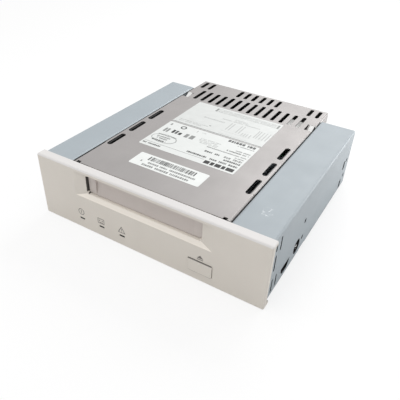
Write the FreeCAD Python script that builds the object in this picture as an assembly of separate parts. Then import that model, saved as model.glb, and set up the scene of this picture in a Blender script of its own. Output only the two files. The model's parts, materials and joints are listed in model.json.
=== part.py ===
import FreeCAD, Part
import math
import os

# Half-height data cartridge drive in a pair of sheet steel adapter brackets, with a wide bezel.
#
# Working frame of every function: X = 0 in the middle of the drive itself, Y = 0 on the front face
# of the bezel and growing towards the rear, Z = 0 on the bottom. The drive sits BAY_X to the left of
# the middle of the bay, so the last step moves the whole model to put the origin under the middle
# of its footprint. Lengths are millimetres.

# ---------------------------------------------------------------- outside sizes
BEZEL_OVERHANG = 1.225       # bezel beyond the bay's width at each end
BEZEL_RISE = 0.6             # bezel above the top of the cover
BEZEL_DEPTH = 5.7            # front face to the front edges of the brackets
BEZEL_WALL = 2.0
SIDE_RIM_DEPTH = 3.0         # of the rims at the two ends, which the bracket walls run up to
BEZEL_TOP_ROUND = 1.2
BEZEL_EDGE_ROUND = 0.8
UNIT_HEIGHT = 41.1           # top of the cover and of the brackets
BAY_WIDTH = 146.05           # over the outer walls of the two brackets
BAY_X = 1.7                  # middle of the bay, seen from the middle of the drive
DRIVE_WIDTH = 101.6
DRIVE_LENGTH = 150.0         # behind the bezel

# ---------------------------------------------------------------- cassette
CASSETTE_WIDTH = 73.0
CASSETTE_DEPTH = 54.0
CASSETTE_HEIGHT = 10.5
CASSETTE_PLAY = 0.4          # round a cassette in its carrier
CASSETTE_SILL = 0.4          # underside of an entering cassette above the slot's lower edge
CASSETTE_SEAT_Z = 16.7       # underside of a cassette that is down on the reel tables
CASSETTE_PUSH = 10.0         # travel inwards
REEL_SPREAD = 30.0           # between the two cassette hubs

# ---------------------------------------------------------------- bezel opening and door
RECESS_END = 7.3             # width of the recess's slope at each end of the slot
RECESS_SILL = 2.3            # height of its slope under the slot
RECESS_DEPTH = 1.9
SLOT_PLAY = 1.4              # at each end of an entering cassette
SLOT_HEIGHT = 13.7
SLOT_BELOW_TOP = 1.6
RIB_PLACES = (-20.0, 4.0, 20.0)
RIB_END_INSET = 12.0
TUNNEL_DEPTH = 9.0
TUNNEL_WALL = 2.0
DOOR_FRONT_Y = 3.6
DOOR_THICKNESS = 1.4
DOOR_SIDE_GAP = 0.6
DOOR_EDGE_GAP = 0.3
DOOR_AXIS_BELOW_TOP = 1.2
DOOR_PIN_RADIUS = 0.7
DOOR_BARREL_RADIUS = 0.9
SCOOP_INSET = 5.7            # from each end of the slot
SCOOP_HEIGHT = 11.0
SCOOP_DEPTH = 1.2
SCOOP_WALL = 1.2
DOOR_STOP_REACH = 1.2
RUNNING_GAP = 0.05           # radial play of every pin and shaft
SPRING_WIRE = 0.3
SPRING_NOTCH = 2.6
SPRING_TURNS = 4
SPRING_LEG = 7.0

# ---------------------------------------------------------------- indicators and eject button
INDICATOR_COUNT = 3
INDICATOR_PITCH = 14.8
INDICATOR_FIRST_X = -42.4
INDICATOR_Z = 7.25
INDICATOR_WIDTH = 3.7
INDICATOR_HEIGHT = 1.3
INDICATOR_SET_BACK = 0.3
PIPE_GAP = 0.06
PIPE_FLANGE = 1.5
BUTTON_X = 38.45
BUTTON_Z = 9.75
BUTTON_HOLE_WIDTH = 15.0
BUTTON_HOLE_HEIGHT = 8.7
BUTTON_ROUND = 1.0
BUTTON_GAP = 0.25
BUTTON_PROUD = 0.5
BUTTON_DEPTH = 4.0
BUTTON_TRAVEL = 1.0
BUTTON_WALL = 1.2
SWITCH_SIZE = 6.0
SWITCH_HEIGHT = 2.4
PLUNGER_RADIUS = 1.5
PLUNGER_PROUD = 1.3
FRONT_BOARD_Y = 9.2
FRONT_BOARD_SHEET = 1.2
FRONT_BOARD_WIDTH = 92.0
FRONT_BOARD_TOP = 20.5
FRONT_BOARD_SCREW_DROP = 3.0
FRONT_BOARD_SCREW_INSET = 6.0
CABLE_GAP_WIDTH = 18.0
CABLE_GAP_HEIGHT = 2.4

# ---------------------------------------------------------------- top cover
COVER_SHEET = 0.6
COVER_FLANGE = 12.0
COVER_REAR_FLANGE = 20.0
COVER_BEND = 1.2
COVER_CORNER = 1.6
JOGGLE_LENGTH = 28.2         # the cover's front part is drawn in by JOGGLE_STEP each side
JOGGLE_STEP = 0.45
SIDE_SLOT_LENGTH = 16.0
SIDE_SLOT_WIDTH = 3.5
SIDE_SLOT_INSET = 4.05
SIDE_SLOT_COUNT = 3
SIDE_SLOT_FIRST_Y = 40.4
SIDE_SLOT_PITCH = 20.95
VENT_PITCH = 6.15
VENT_WIDTH = 2.75
VENT_COUNT = 14
VENT_FRONT_Y = 120.3
VENT_LENGTH = 17.2
VENT_REAR_Y = 141.3
VENT_REAR_LENGTH = 11.6
VENT_BLANKS = (3.5, 4.5, 5.5)    # places, in pitches from the middle, left unpierced in the rear row
TONGUE_WIDTH = 5.2
TONGUE_REAR_Y = 129.0
TONGUE_LENGTH = 5.6
TONGUE_WINDOW = 8.8
TONGUE_DROP = 2.6
COVER_FRONT_GAP = 1.3        # between the bezel's back and the cover's front edge
COVER_NOTCH_INSET = 3.2
COVER_NOTCH_WIDTH = 2.4
COVER_NOTCH_LENGTH = 1.6

# ---------------------------------------------------------------- brackets
BRACKET_LENGTH = 132.5
BRACKET_SHEET = 1.0
BRACKET_BEND = 1.5
BRACKET_FOOT = 12.0
BRACKET_INNER_BOTTOM = 3.0
BAY_HOLE_FRONT = 47.4        # behind the bezel seat
BAY_HOLE_PITCH = 79.25
BAY_HOLE_LOW = 10.0
BAY_HOLE_RISE = 11.84
BAY_HOLE_RADIUS = 1.5
BOTTOM_HOLE_INSET = 3.175    # from the bay's side
COLLAR_WALL = 0.9
COLLAR_HEIGHT = 1.2
LATCH_SLOT_WIDTH = 1.7
LATCH_Y_UPPER = 9.0
LATCH_Z_UPPER = 35.1
LATCH_HEIGHT_UPPER = 6.6
RELIEF_Y_UPPER = 14.5
RELIEF_Z_UPPER = 33.5
RELIEF_HEIGHT_UPPER = 9.0
LATCH_Y_LOWER = 10.3
LATCH_Z_LOWER = 7.75
LATCH_HEIGHT_LOWER = 9.5
RELIEF_Y_LOWER = 15.8
RELIEF_Z_LOWER = 7.6
RELIEF_HEIGHT_LOWER = 8.2
MIDDLE_SLOT_Y = 9.8
MIDDLE_SLOT_Z = 23.75
MIDDLE_SLOT_HEIGHT = 10.5
LUG_Z = 30.25
LUG_HEIGHT = 4.5
LUG_DEPTH = 1.1
D_HOLE_Y = 28.5
D_HOLE_Z = 9.0
D_HOLE_RADIUS = 5.5
D_HOLE_HALF_WIDTH = 6.0
ACCESS_RADIUS = 4.7
EDGE_NOTCH_Y = 56.0
EDGE_NOTCH_LENGTH = 10.0
EDGE_NOTCH_HEIGHT = 2.0
REAR_SLOT_Y = 127.0
REAR_SLOT_WIDTH = 3.6
REAR_SLOT_HEIGHT = 7.0
REAR_SLOT_HIGH_Z = 20.0
REAR_SLOT_LOW_Z = 5.5
DRIVE_SCREW_Y = 44.8
DRIVE_SCREW_Z = 8.9
DRIVE_SCREW_RADIUS = 1.5
SCREW_HEAD_RADIUS = 2.8
SCREW_HEAD_HEIGHT = 1.7
SCREW_HOLE_PLAY = 0.1
CROSS_WIDTH = 0.6            # of the recess in a screw's head
HOOK_Y = 116.0
HOOK_REACH = 2.6
HOOK_HEIGHT = 5.0
HOOK_GAP = 0.25
SNAP_THICKNESS = 1.4
SNAP_GAP = 0.3
SNAP_END_GAP = 0.9           # the arm ends this far behind its hook
FIT_GAP = 0.1                # between pieces that drop into each other

# ---------------------------------------------------------------- chassis and bottom cover
CHASSIS_WALL = 2.0
CHASSIS_FRONT_Y = 6.1
CHASSIS_STEP = 2.0
LEDGE_WIDTH = 7.8
LEDGE_HEIGHT = 2.0
LIP_THICKNESS = 1.2
LIP_TOP = 20.0
BOTTOM_SHEET = 0.8
BOTTOM_SCREWS_Y = (15.5, 87.0, 149.0)
BOTTOM_SCREW_X = 46.0
BOTTOM_VENT_COUNT = 7
BOTTOM_VENT_PITCH = 7.0
BOTTOM_VENT_LENGTH = 22.0
BOTTOM_VENT_WIDTH = 2.4
BOTTOM_VENT_Y = 46.0

# ---------------------------------------------------------------- main board and connectors
BOARD_Z = 5.6
BOARD_SHEET = 1.6
BOARD_WIDTH = 93.0
BOARD_FRONT_Y = 16.0
BOARD_REAR_GAP = 2.0
BOARD_SCREWS_Y = (22.0, 80.0, 133.0)
BOARD_SCREW_X = 43.0
BOARD_POST_RADIUS = 2.3
SMALL_SCREW_RADIUS = 1.0
SMALL_HEAD_RADIUS = 2.0
SMALL_HEAD_HEIGHT = 1.1
PIN_PITCH = 2.54
PIN_SIZE = 0.64
SCSI_COLUMNS = 25
SCSI_WIDTH = 68.0
SCSI_X = -13.2
SCSI_HEIGHT = 9.0
SCSI_DEPTH = 14.0
SCSI_SHELL = 1.2
SCSI_KEY_WIDTH = 6.0
POWER_X = 36.7
POWER_WIDTH = 20.6
POWER_HEIGHT = 10.4
POWER_DEPTH = 14.0
POWER_SHELL = 1.4
POWER_BEVEL = 1.4
POWER_PIN_PITCH = 5.08
POWER_PIN_RADIUS = 1.05
POWER_PIN_COUNT = 4
JUMPER_X = 23.6
JUMPER_ROWS = 4
PIN_REACH = 6.0
DIP_X = -20.0
DIP_Y = 112.0
DIP_COUNT = 8
DIP_LENGTH = 21.8
DIP_DEPTH = 9.6
DIP_HEIGHT = 3.4
DIP_LEVER_SIZE = 1.2
DIP_LEVER_TRAVEL = 1.5
DIP_LEVER_REACH = 0.8
DIP_WINDOW_GAP = 0.8
CHIPS = (                    # middle x, middle y, width, length, height
    (-22.0, 46.0, 28.0, 28.0, 3.0), (16.0, 42.0, 20.0, 20.0, 2.4), (14.0, 74.0, 28.0, 28.0, 3.0),
    (-20.0, 84.0, 14.0, 20.0, 2.4), (22.0, 108.0, 20.0, 14.0, 2.4), (30.0, 60.0, 8.0, 18.0, 2.4),
    (-36.0, 66.0, 8.0, 18.0, 2.4), (6.0, 132.0, 20.0, 8.0, 2.2))
CAPACITOR_XS = (-24.0, -16.0, 2.0, 20.0)
CAPACITOR_Y = 134.0
CAPACITOR_RADIUS = 3.0
CAPACITOR_HEIGHT = 9.0
CAPACITOR_ROUND = 0.3

# ---------------------------------------------------------------- tape deck
DECK_TOP = 14.7
DECK_SHEET = 1.2
DECK_FRONT_Y = 20.0
DECK_REAR_Y = 124.0
DECK_CORNER = 1.5
DECK_WALL_ROUND = 2.8
DECK_WALL = 1.0
DECK_WALL_RISE = 6.0         # of the deck's side walls above the sled's pins
DECK_WALL_REAR_Y = 86.0
DAMPER_OUTSET = 2.4
DAMPER_YS = (30.0, 118.0)
DAMPER_RADIUS = 3.0
DAMPER_HEIGHT = 2.0
LUG_THICKNESS = 2.6
EAR_LENGTH = 9.0
REEL_Y = 53.5
REEL_FLANGE_RADIUS = 9.0
REEL_FLANGE_BOTTOM = 15.2
REEL_FLANGE_THICKNESS = 1.2
REEL_HUB_RADIUS = 3.1
REEL_HUB_TOP = 24.0
REEL_FINS = 3
REEL_SHAFT_RADIUS = 1.5
ROTOR_BOTTOM = 9.7
ROTOR_THICKNESS = 1.8
REEL_ROTOR_RADIUS = 11.0
STATOR_BOTTOM = 7.9
STATOR_SHEET = 0.8
COIL_HEIGHT = 0.6
COIL_COUNT = 6
BUSH_WALL = 1.5
MOTOR_BOARD_MARGIN = 1.0
DRUM_Y = 99.0
DRUM_MID_Z = 22.5
DRUM_RADIUS = 15.0
DRUM_TILT = 5.0
DRUM_LOWER_HEIGHT = 9.0
DRUM_UPPER_HEIGHT = 8.0
DRUM_GAP = 0.3
DRUM_SHAFT_RADIUS = 2.0
DRUM_BASE_RADIUS = 15.8
DRUM_BASE_THICKNESS = 1.5
DRUM_RABBET = 0.4
DRUM_RIM_WALL = 2.4
DRUM_RIM_SLOPE = 1.0
DRUM_WEB = 3.0
DRUM_HUB_RADIUS = 5.0
HEAD_THICKNESS = 0.6
HEAD_WINDOW_HEIGHT = 1.2
HEAD_COUNT = 4
CAPSTAN_X = 27.5
CAPSTAN_Y = 86.0
CAPSTAN_RADIUS = 1.0
CAPSTAN_TOP = 28.0
CAPSTAN_ROTOR_RADIUS = 8.0
CAPSTAN_BUSH_TOP = 15.0
PINCH_PIVOT_X = 38.0
PINCH_PIVOT_Y = 96.0
PINCH_ARM_LENGTH = 10.5
PINCH_REST_ANGLE = 204.9     # from +X, seen from above
PINCH_ROLLER_RADIUS = 3.2
PINCH_ARM_BOTTOM = 15.2
PINCH_ARM_THICKNESS = 1.6
PINCH_ROLLER_BOTTOM = 17.4
PINCH_ROLLER_TOP = 25.6
PIVOT_RADIUS = 1.2
ARM_HALF_WIDTH = 2.0
ARM_BAR_WIDTH = 2.8
CAP_THICKNESS = 1.0          # of the caps that keep rollers and arms on their pins
TENSION_PIVOT_X = -33.0
TENSION_PIVOT_Y = 90.0
TENSION_ARM_LENGTH = 12.4
TENSION_REST_ANGLE = -31.8
POLE_RADIUS = 1.0
POLE_TOP = 25.5
FIXED_POSTS = ((-37.0, 86.6), (36.0, 87.6))
FIXED_POST_RADIUS = 1.2
FIXED_COLLAR_RADIUS = 1.9
FIXED_COLLAR_TOP = 19.4
GUIDE_START = (14.0, 75.0)
GUIDE_END = (20.5, 100.0)
GUIDE_BASE_RADIUS = 3.1
GUIDE_BASE_HEIGHT = 2.4
GUIDE_BASE_GAP = 0.2
GUIDE_SLOT_WIDTH = 3.2
GUIDE_STEM_GAP = 0.2
GUIDE_ROLLER_RADIUS = 1.9
GUIDE_PIN_RADIUS = 0.8
GUIDE_CAP_THICKNESS = 0.7
GUIDE_HEEL_RADIUS = 1.86
GUIDE_HEEL_REACH = 3.41
GUIDE_POLE_REACH = 3.72
GUIDE_POLE_SINK = 1.9        # the pole's foot below the top of the base
GUIDE_POLE_LEAN = 0.12
PLATE_TOP = 12.7
PLATE_SHEET = 0.8
PLATE_BAR_HALF = 4.0
PLATE_END_WALL = 1.3
PLATE_ARM_WIDTH = 3.4
PINION_MODULE = 0.8
PINION_TEETH = 12
GEAR_MODULE = 0.5
GEAR_TEETH = 36
MOTOR_PINION_TEETH = 12
GEAR_X = -38.0
GEAR_Y = 106.0
GEAR_BOTTOM = 15.3
GEAR_THICKNESS = 2.2
GEAR_WINDOW_COUNT = 5
GEAR_WINDOW_RADIUS = 1.9
GEAR_WINDOW_REACH = 5.22
MOTOR_ANGLE = 75.0
MOTOR_RADIUS = 5.6
MOTOR_LENGTH = 12.0
BRIDGE_BOTTOM = 18.6
BRIDGE_SHEET = 1.0
MOTOR_SHAFT_RADIUS = 0.75
MOTOR_ROUND = 0.5
MOTOR_BORE_DEPTH = 2.0
MOTOR_TAB_HEIGHT = 2.0
TAB_SHEET = 0.6
PRESSURE_ANGLE = 20.0
BACKLASH = 0.12
TOOTH_DEPTH_SHARE = 0.9      # tooth height above the pitch line, in modules
ROOT_DEPTH_SHARE = 1.2

# ---------------------------------------------------------------- cassette carrier and sled
CARRIER_SHEET = 0.8
CARRIER_FRONT_Y = 18.6
CARRIER_LEDGE = 5.0
CARRIER_TOP_GAP = 0.4
CARRIER_PINS_Y = (30.0, 62.0)
CARRIER_PIN_RADIUS = 1.0
CARRIER_PIN_RISE = 5.3       # above the underside of an entering cassette
CARRIER_WINDOW_X = 18.6
CARRIER_WINDOW_WIDTH = 25.5
CARRIER_WINDOW_FRONT = 9.0
CARRIER_WINDOW_REAR = 14.4
SLED_SHEET = 1.0
SLED_GAP = 1.4
SLED_FRONT_Y = 21.0
SLED_REAR_Y = 71.0
SLED_BOTTOM = 16.0
SLED_TOP_GAP = 0.7
SLED_PINS_Y = (26.0, 66.0)
SLED_PIN_RADIUS = 0.9
SLED_PIN_DROP = 4.5          # below the carrier's pins
SLED_WALL_GAP = 1.1
SLED_DIP_RISE = 2.5          # of the low part of a cheek above the carrier's pins
SLED_STRAPS_Y = (34.0, 66.0)
SLED_STRAP_WIDTH = 7.0
SLIDE_PLAY = 0.1

# ---------------------------------------------------------------- amplifier board at the rear
AMP_X = 26.0
AMP_WIDTH = 36.0
AMP_FRONT_Y = 124.6
AMP_LENGTH = 24.0
AMP_Z = 24.0
AMP_SHEET = 1.2
AMP_POST_RADIUS = 2.2
AMP_POST_INSET = 3.0
AMP_POST_PITCH = 10.0
AMP_PLUG_X = 31.0
AMP_PLUG_Y = 141.0
AMP_PLUG_WIDTH = 9.5
AMP_PLUG_DEPTH = 12.0
AMP_PLUG_HEIGHT = 7.6
AMP_RIB_PROUD = 1.0
BOARD_CORNER = 1.0

# ---------------------------------------------------------------- places that follow from the sizes
BEZEL_WIDTH = BAY_WIDTH + 2 * BEZEL_OVERHANG
BEZEL_HEIGHT = UNIT_HEIGHT + BEZEL_RISE
BEZEL_LEFT = BAY_X - BEZEL_WIDTH / 2
BEZEL_RIGHT = BAY_X + BEZEL_WIDTH / 2
DRIVE_REAR = BEZEL_DEPTH + DRIVE_LENGTH
DRIVE_HALF = DRIVE_WIDTH / 2
COVER_UNDER = UNIT_HEIGHT - COVER_SHEET
CHASSIS_UPPER_HALF = DRIVE_HALF - COVER_SHEET - JOGGLE_STEP - FIT_GAP
CHASSIS_INNER_HALF = CHASSIS_UPPER_HALF - CHASSIS_WALL
CHASSIS_LOWER_INNER = DRIVE_HALF - CHASSIS_WALL
CHASSIS_SHELF_Z = UNIT_HEIGHT - COVER_FLANGE - FIT_GAP
LEDGE_TOP = BOTTOM_SHEET + LEDGE_HEIGHT
FRONT_BOARD_BOTTOM = LEDGE_TOP + FIT_GAP
BOARD_TOP = BOARD_Z + BOARD_SHEET
DECK_UNDER = DECK_TOP - DECK_SHEET
DAMPER_SEAT = DECK_UNDER - DAMPER_HEIGHT
SLOT_WIDTH = CASSETTE_WIDTH + 2 * SLOT_PLAY
SLOT_TOP = UNIT_HEIGHT - SLOT_BELOW_TOP
SLOT_BOTTOM = SLOT_TOP - SLOT_HEIGHT
RECESS_WIDTH = SLOT_WIDTH + 2 * RECESS_END
RECESS_BOTTOM = SLOT_BOTTOM - RECESS_SILL
SCOOP_WIDTH = SLOT_WIDTH - 2 * SCOOP_INSET
CASSETTE_ENTRY_Z = SLOT_BOTTOM + CASSETTE_SILL
CASSETTE_DROP = CASSETTE_ENTRY_Z - CASSETTE_SEAT_Z
DOOR_HALF = SLOT_WIDTH / 2 - DOOR_SIDE_GAP
DOOR_BOTTOM = SLOT_BOTTOM + DOOR_EDGE_GAP
DOOR_TOP = SLOT_TOP - DOOR_EDGE_GAP
DOOR_AXIS_Y = DOOR_FRONT_Y + DOOR_THICKNESS
DOOR_AXIS_Z = SLOT_TOP - DOOR_AXIS_BELOW_TOP
FRONT_BOARD_REAR = FRONT_BOARD_Y + FRONT_BOARD_SHEET
SWITCH_FRONT = FRONT_BOARD_Y - SWITCH_HEIGHT
BAY_REAR = BEZEL_DEPTH + BRACKET_LENGTH
CARRIER_INNER_HALF = CASSETTE_WIDTH / 2 + CASSETTE_PLAY
CARRIER_OUTER_HALF = CARRIER_INNER_HALF + CARRIER_SHEET
CARRIER_REAR_Y = CARRIER_FRONT_Y + CASSETTE_DEPTH
CARRIER_ROOF = CASSETTE_ENTRY_Z + CASSETTE_HEIGHT + CARRIER_TOP_GAP
SLED_INNER_HALF = CARRIER_OUTER_HALF + SLED_GAP
SLED_OUTER_HALF = SLED_INNER_HALF + SLED_SHEET
SLED_ROOF = CARRIER_ROOF + CARRIER_SHEET + SLED_TOP_GAP
CARRIER_PIN_Z = CASSETTE_ENTRY_Z + CARRIER_PIN_RISE
SLED_PIN_Z = CARRIER_PIN_Z - SLED_PIN_DROP
DECK_HALF_WIDTH = SLED_OUTER_HALF + SLED_WALL_GAP + DECK_WALL
DECK_WALL_TOP = SLED_PIN_Z + DECK_WALL_RISE
DAMPER_X = DECK_HALF_WIDTH + DAMPER_OUTSET
PINION_RADIUS = PINION_MODULE * PINION_TEETH / 2
GEAR_RADIUS = GEAR_MODULE * GEAR_TEETH / 2
MOTOR_PINION_RADIUS = GEAR_MODULE * MOTOR_PINION_TEETH / 2
GUIDE_TRAVEL_Y = GUIDE_END[1] - GUIDE_START[1]
PLATE_BOTTOM = PLATE_TOP - PLATE_SHEET
RACK_LINE_X = GEAR_X + PINION_RADIUS
MOTOR_X = GEAR_X + (GEAR_RADIUS + MOTOR_PINION_RADIUS) * math.cos(math.radians(MOTOR_ANGLE))
MOTOR_Y = GEAR_Y + (GEAR_RADIUS + MOTOR_PINION_RADIUS) * math.sin(math.radians(MOTOR_ANGLE))
OVERRUN = 1.0                # how far a cutting tool runs past the face it opens
TOUCH = 1e-4                 # edges closer than this count as being at a place


# ================================================================ shape helpers
def vector(x, y, z):
    return FreeCAD.Vector(x, y, z)


X_AXIS = vector(1, 0, 0)
Y_AXIS = vector(0, 1, 0)
Z_AXIS = vector(0, 0, 1)


def around(middle, size):
    """The (low, high) pair of a span of the given size."""
    return middle - size / 2, middle + size / 2


def box(x_span, y_span, z_span):
    """A block between three (low, high) pairs."""
    sizes = [high - low for low, high in (x_span, y_span, z_span)]
    return Part.makeBox(*sizes, vector(x_span[0], y_span[0], z_span[0]))


def rod(start, axis, length, radius):
    return Part.makeCylinder(radius, length, vector(*start), axis)


def post(x, y, z_span, radius):
    """An upright cylinder."""
    return rod((x, y, z_span[0]), Z_AXIS, z_span[1] - z_span[0], radius)


def tube(x, y, z_span, outer, inner):
    bore = post(x, y, (z_span[0] - OVERRUN, z_span[1] + OVERRUN), inner)
    return post(x, y, z_span, outer).cut(bore)


def fuse(first, *others):
    return first.multiFuse(list(others)).removeSplitter()


def cut(body, *tools):
    return body.cut(list(tools))


def group(shapes):
    return Part.makeCompound(list(shapes))


def prism(points, direction, length):
    """A straight prism on a closed outline of points."""
    outline = Part.makePolygon([vector(*point) for point in points] + [vector(*points[0])])
    return Part.Face(outline).extrude(direction * length)


def revolved(profile):
    """A solid turned round Z from a closed outline of (radius, height) points."""
    outline = Part.makePolygon([vector(radius, 0, z) for radius, z in profile + profile[:1]])
    return Part.Face(outline).revolve(vector(0, 0, 0), Z_AXIS, 360)


def edges_at(shape, x=None, y=None, z=None):
    """The edges that lie wholly at the given coordinates."""
    found = []
    for edge in shape.Edges:
        bounds = edge.BoundBox
        spans = ((bounds.XMin, bounds.XMax, x), (bounds.YMin, bounds.YMax, y),
                 (bounds.ZMin, bounds.ZMax, z))
        if all(place is None or (abs(low - place) < TOUCH and abs(high - place) < TOUCH)
               for low, high, place in spans):
            found.append(edge)
    return found


def rounded(shape, radius, **place):
    return shape.makeFillet(radius, edges_at(shape, **place))


def rounded_block(x_span, y_span, z_span, radius, along="z"):
    """A block whose four edges parallel to one axis are rounded."""
    block = box(x_span, y_span, z_span)
    across = {"x": (None, y_span, z_span), "y": (x_span, None, z_span),
              "z": (x_span, y_span, None)}[along]
    sides = [(name, span) for name, span in zip("xyz", across) if span]
    edges = []
    for first in sides[0][1]:
        for second in sides[1][1]:
            edges += edges_at(block, **{sides[0][0]: first, sides[1][0]: second})
    return block.makeFillet(radius, edges)


def slot_hole(x, y, x_size, y_size, z_span):
    """An upright tool with two round ends, for a slot in a level sheet."""
    return rounded_block(around(x, x_size), around(y, y_size), z_span, min(x_size, y_size) / 2 - TOUCH)


def mirrored(shape):
    """The other hand, across the middle of the drive."""
    return shape.mirror(vector(0, 0, 0), X_AXIS)


def both_sides(shape):
    return [shape, mirrored(shape)]


def part_way(span, share):
    return span[0] + (span[1] - span[0]) * share


# ================================================================ bezel and door
def recess_outline(depth):
    """The sloping recess round the cassette slot, at a depth behind the front face."""
    share = depth / RECESS_DEPTH
    half = part_way((RECESS_WIDTH / 2, SLOT_WIDTH / 2), share)
    bottom = part_way((RECESS_BOTTOM, SLOT_BOTTOM), share)
    corners = ((-half, bottom), (half, bottom), (half, SLOT_TOP), (-half, SLOT_TOP), (-half, bottom))
    return Part.makePolygon([vector(x, depth, z) for x, z in corners])


def snap_arm(side, latch_y, latch_z, height):
    """One springy arm of the bezel, hooked into a slot of the bracket's outer wall."""
    wall_inside = BAY_WIDTH / 2 - BRACKET_SHEET
    outer = wall_inside - SNAP_GAP
    inner = outer - SNAP_THICKNESS
    end_y = latch_y + SNAP_END_GAP
    width = height - LATCH_SLOT_WIDTH
    z_span = around(latch_z, width)
    arm = box((inner, outer), (BEZEL_WALL, end_y), z_span)
    hook_front = latch_y - LATCH_SLOT_WIDTH / 2 + HOOK_GAP
    hook_points = ((outer, hook_front, z_span[0]), (BAY_WIDTH / 2 - FIT_GAP, hook_front, z_span[0]),
                   (BAY_WIDTH / 2 - FIT_GAP, latch_y, z_span[0]), (outer, end_y, z_span[0]))
    snap = fuse(arm, prism(hook_points, Z_AXIS, width))
    if side < 0:
        snap = mirrored(snap)
    snap.translate(vector(BAY_X, 0, 0))
    return snap


def lug_slot():
    """Front and back of the slot near the front edge of a bracket's outer wall."""
    return BEZEL_DEPTH - LUG_DEPTH / 2, BEZEL_DEPTH + LUG_DEPTH


def seat_lug(side):
    """A tab behind the bezel whose end fills a slot in the bracket's outer wall."""
    z_span = around(LUG_Z, LUG_HEIGHT - 2 * FIT_GAP)
    slot_front, slot_back = lug_slot()
    outer = BAY_WIDTH / 2 - BRACKET_SHEET - SNAP_GAP
    tab = box((outer - SNAP_THICKNESS, outer), (BEZEL_WALL, slot_back - FIT_GAP), z_span)
    end = box((outer - SNAP_THICKNESS, BAY_WIDTH / 2 - FIT_GAP),
              (slot_front + FIT_GAP, slot_back - FIT_GAP), z_span)
    lug = fuse(tab, end)
    if side < 0:
        lug = mirrored(lug)
    lug.translate(vector(BAY_X, 0, 0))
    return lug


def indicator_places():
    return [INDICATOR_FIRST_X + index * INDICATOR_PITCH for index in range(INDICATOR_COUNT)]


def front_bezel():
    """Moulded front: shell, sloping recess, cassette tunnel, windows, button hole, ribs and snap arms."""
    shell = box((BEZEL_LEFT, BEZEL_RIGHT), (0, BEZEL_DEPTH), (0, BEZEL_HEIGHT))
    shell = rounded(shell, BEZEL_TOP_ROUND, y=0, z=BEZEL_HEIGHT)
    for place in ({"x": BEZEL_LEFT, "y": 0}, {"x": BEZEL_RIGHT, "y": 0}, {"y": 0, "z": 0}):
        shell = rounded(shell, BEZEL_EDGE_ROUND, **place)
    hollow = box((BEZEL_LEFT + BEZEL_WALL, BEZEL_RIGHT - BEZEL_WALL),
                 (BEZEL_WALL, BEZEL_DEPTH + OVERRUN), (BEZEL_WALL, BEZEL_HEIGHT - BEZEL_WALL))
    rear_rim = box((BEZEL_LEFT - OVERRUN, BEZEL_RIGHT + OVERRUN), (SIDE_RIM_DEPTH, BEZEL_DEPTH + OVERRUN),
                   (BEZEL_WALL, BEZEL_HEIGHT - BEZEL_WALL))
    shell = cut(shell, hollow, rear_rim)

    tunnel_half = SLOT_WIDTH / 2 + TUNNEL_WALL
    tunnel = box((-tunnel_half, tunnel_half), (BEZEL_WALL / 2, TUNNEL_DEPTH),
                 (SLOT_BOTTOM - TUNNEL_WALL, COVER_UNDER - FIT_GAP))
    ribs = [box(around(x, BEZEL_WALL / 2), (BEZEL_WALL / 2, BEZEL_DEPTH - FIT_GAP),
                (BEZEL_WALL / 2, SLOT_BOTTOM - TUNNEL_WALL / 2))
            for x in (BEZEL_LEFT + RIB_END_INSET, *RIB_PLACES, BEZEL_RIGHT - RIB_END_INSET)]
    latches = [(LATCH_Y_UPPER, LATCH_Z_UPPER, LATCH_HEIGHT_UPPER),
               (LATCH_Y_LOWER, LATCH_Z_LOWER, LATCH_HEIGHT_LOWER)]
    snaps = [snap_arm(side, *latch) for side in (-1, 1) for latch in latches]
    lugs = [seat_lug(side) for side in (-1, 1)]
    shell = fuse(shell, tunnel, *ribs, *snaps, *lugs)

    recess = Part.makeLoft([recess_outline(-OVERRUN), recess_outline(RECESS_DEPTH)], True, True)
    slot = box(around(0, SLOT_WIDTH), (RECESS_DEPTH - TOUCH, TUNNEL_DEPTH + OVERRUN),
               (SLOT_BOTTOM, SLOT_TOP))
    windows = [box(around(x, INDICATOR_WIDTH), (-OVERRUN, BEZEL_WALL + OVERRUN),
                   around(INDICATOR_Z, INDICATOR_HEIGHT))
               for x in indicator_places()]
    button_hole = rounded_block(around(BUTTON_X, BUTTON_HOLE_WIDTH), (-OVERRUN, BEZEL_WALL + OVERRUN),
                                around(BUTTON_Z, BUTTON_HOLE_HEIGHT), BUTTON_ROUND, along="y")
    pin_holes = rod((-tunnel_half - OVERRUN, DOOR_AXIS_Y, DOOR_AXIS_Z), X_AXIS,
                    2 * (tunnel_half + OVERRUN), DOOR_PIN_RADIUS + RUNNING_GAP)
    tang_groove = rod((-SLOT_WIDTH / 2 - TUNNEL_WALL / 2, DOOR_AXIS_Y, DOOR_AXIS_Z), X_AXIS,
                      TUNNEL_WALL, DOOR_AXIS_BELOW_TOP)
    shell = cut(shell, recess, slot, button_hole, pin_holes, tang_groove, *windows)

    stop = box((SLOT_WIDTH / 2 - DOOR_STOP_REACH, SLOT_WIDTH / 2 + TUNNEL_WALL / 2),
               (RECESS_DEPTH, DOOR_FRONT_Y - FIT_GAP),
               (SLOT_BOTTOM - TUNNEL_WALL / 2, SLOT_BOTTOM + DOOR_STOP_REACH))
    return fuse(shell, *both_sides(stop))


def scoop_cylinder(radius, depth):
    """A lying cylinder whose surface dips below the door's front face by the given depth."""
    middle_z = (DOOR_BOTTOM + DOOR_AXIS_Z) / 2
    return rod((-SCOOP_WIDTH / 2, DOOR_FRONT_Y + depth - radius, middle_z), X_AXIS, SCOOP_WIDTH, radius)


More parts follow.
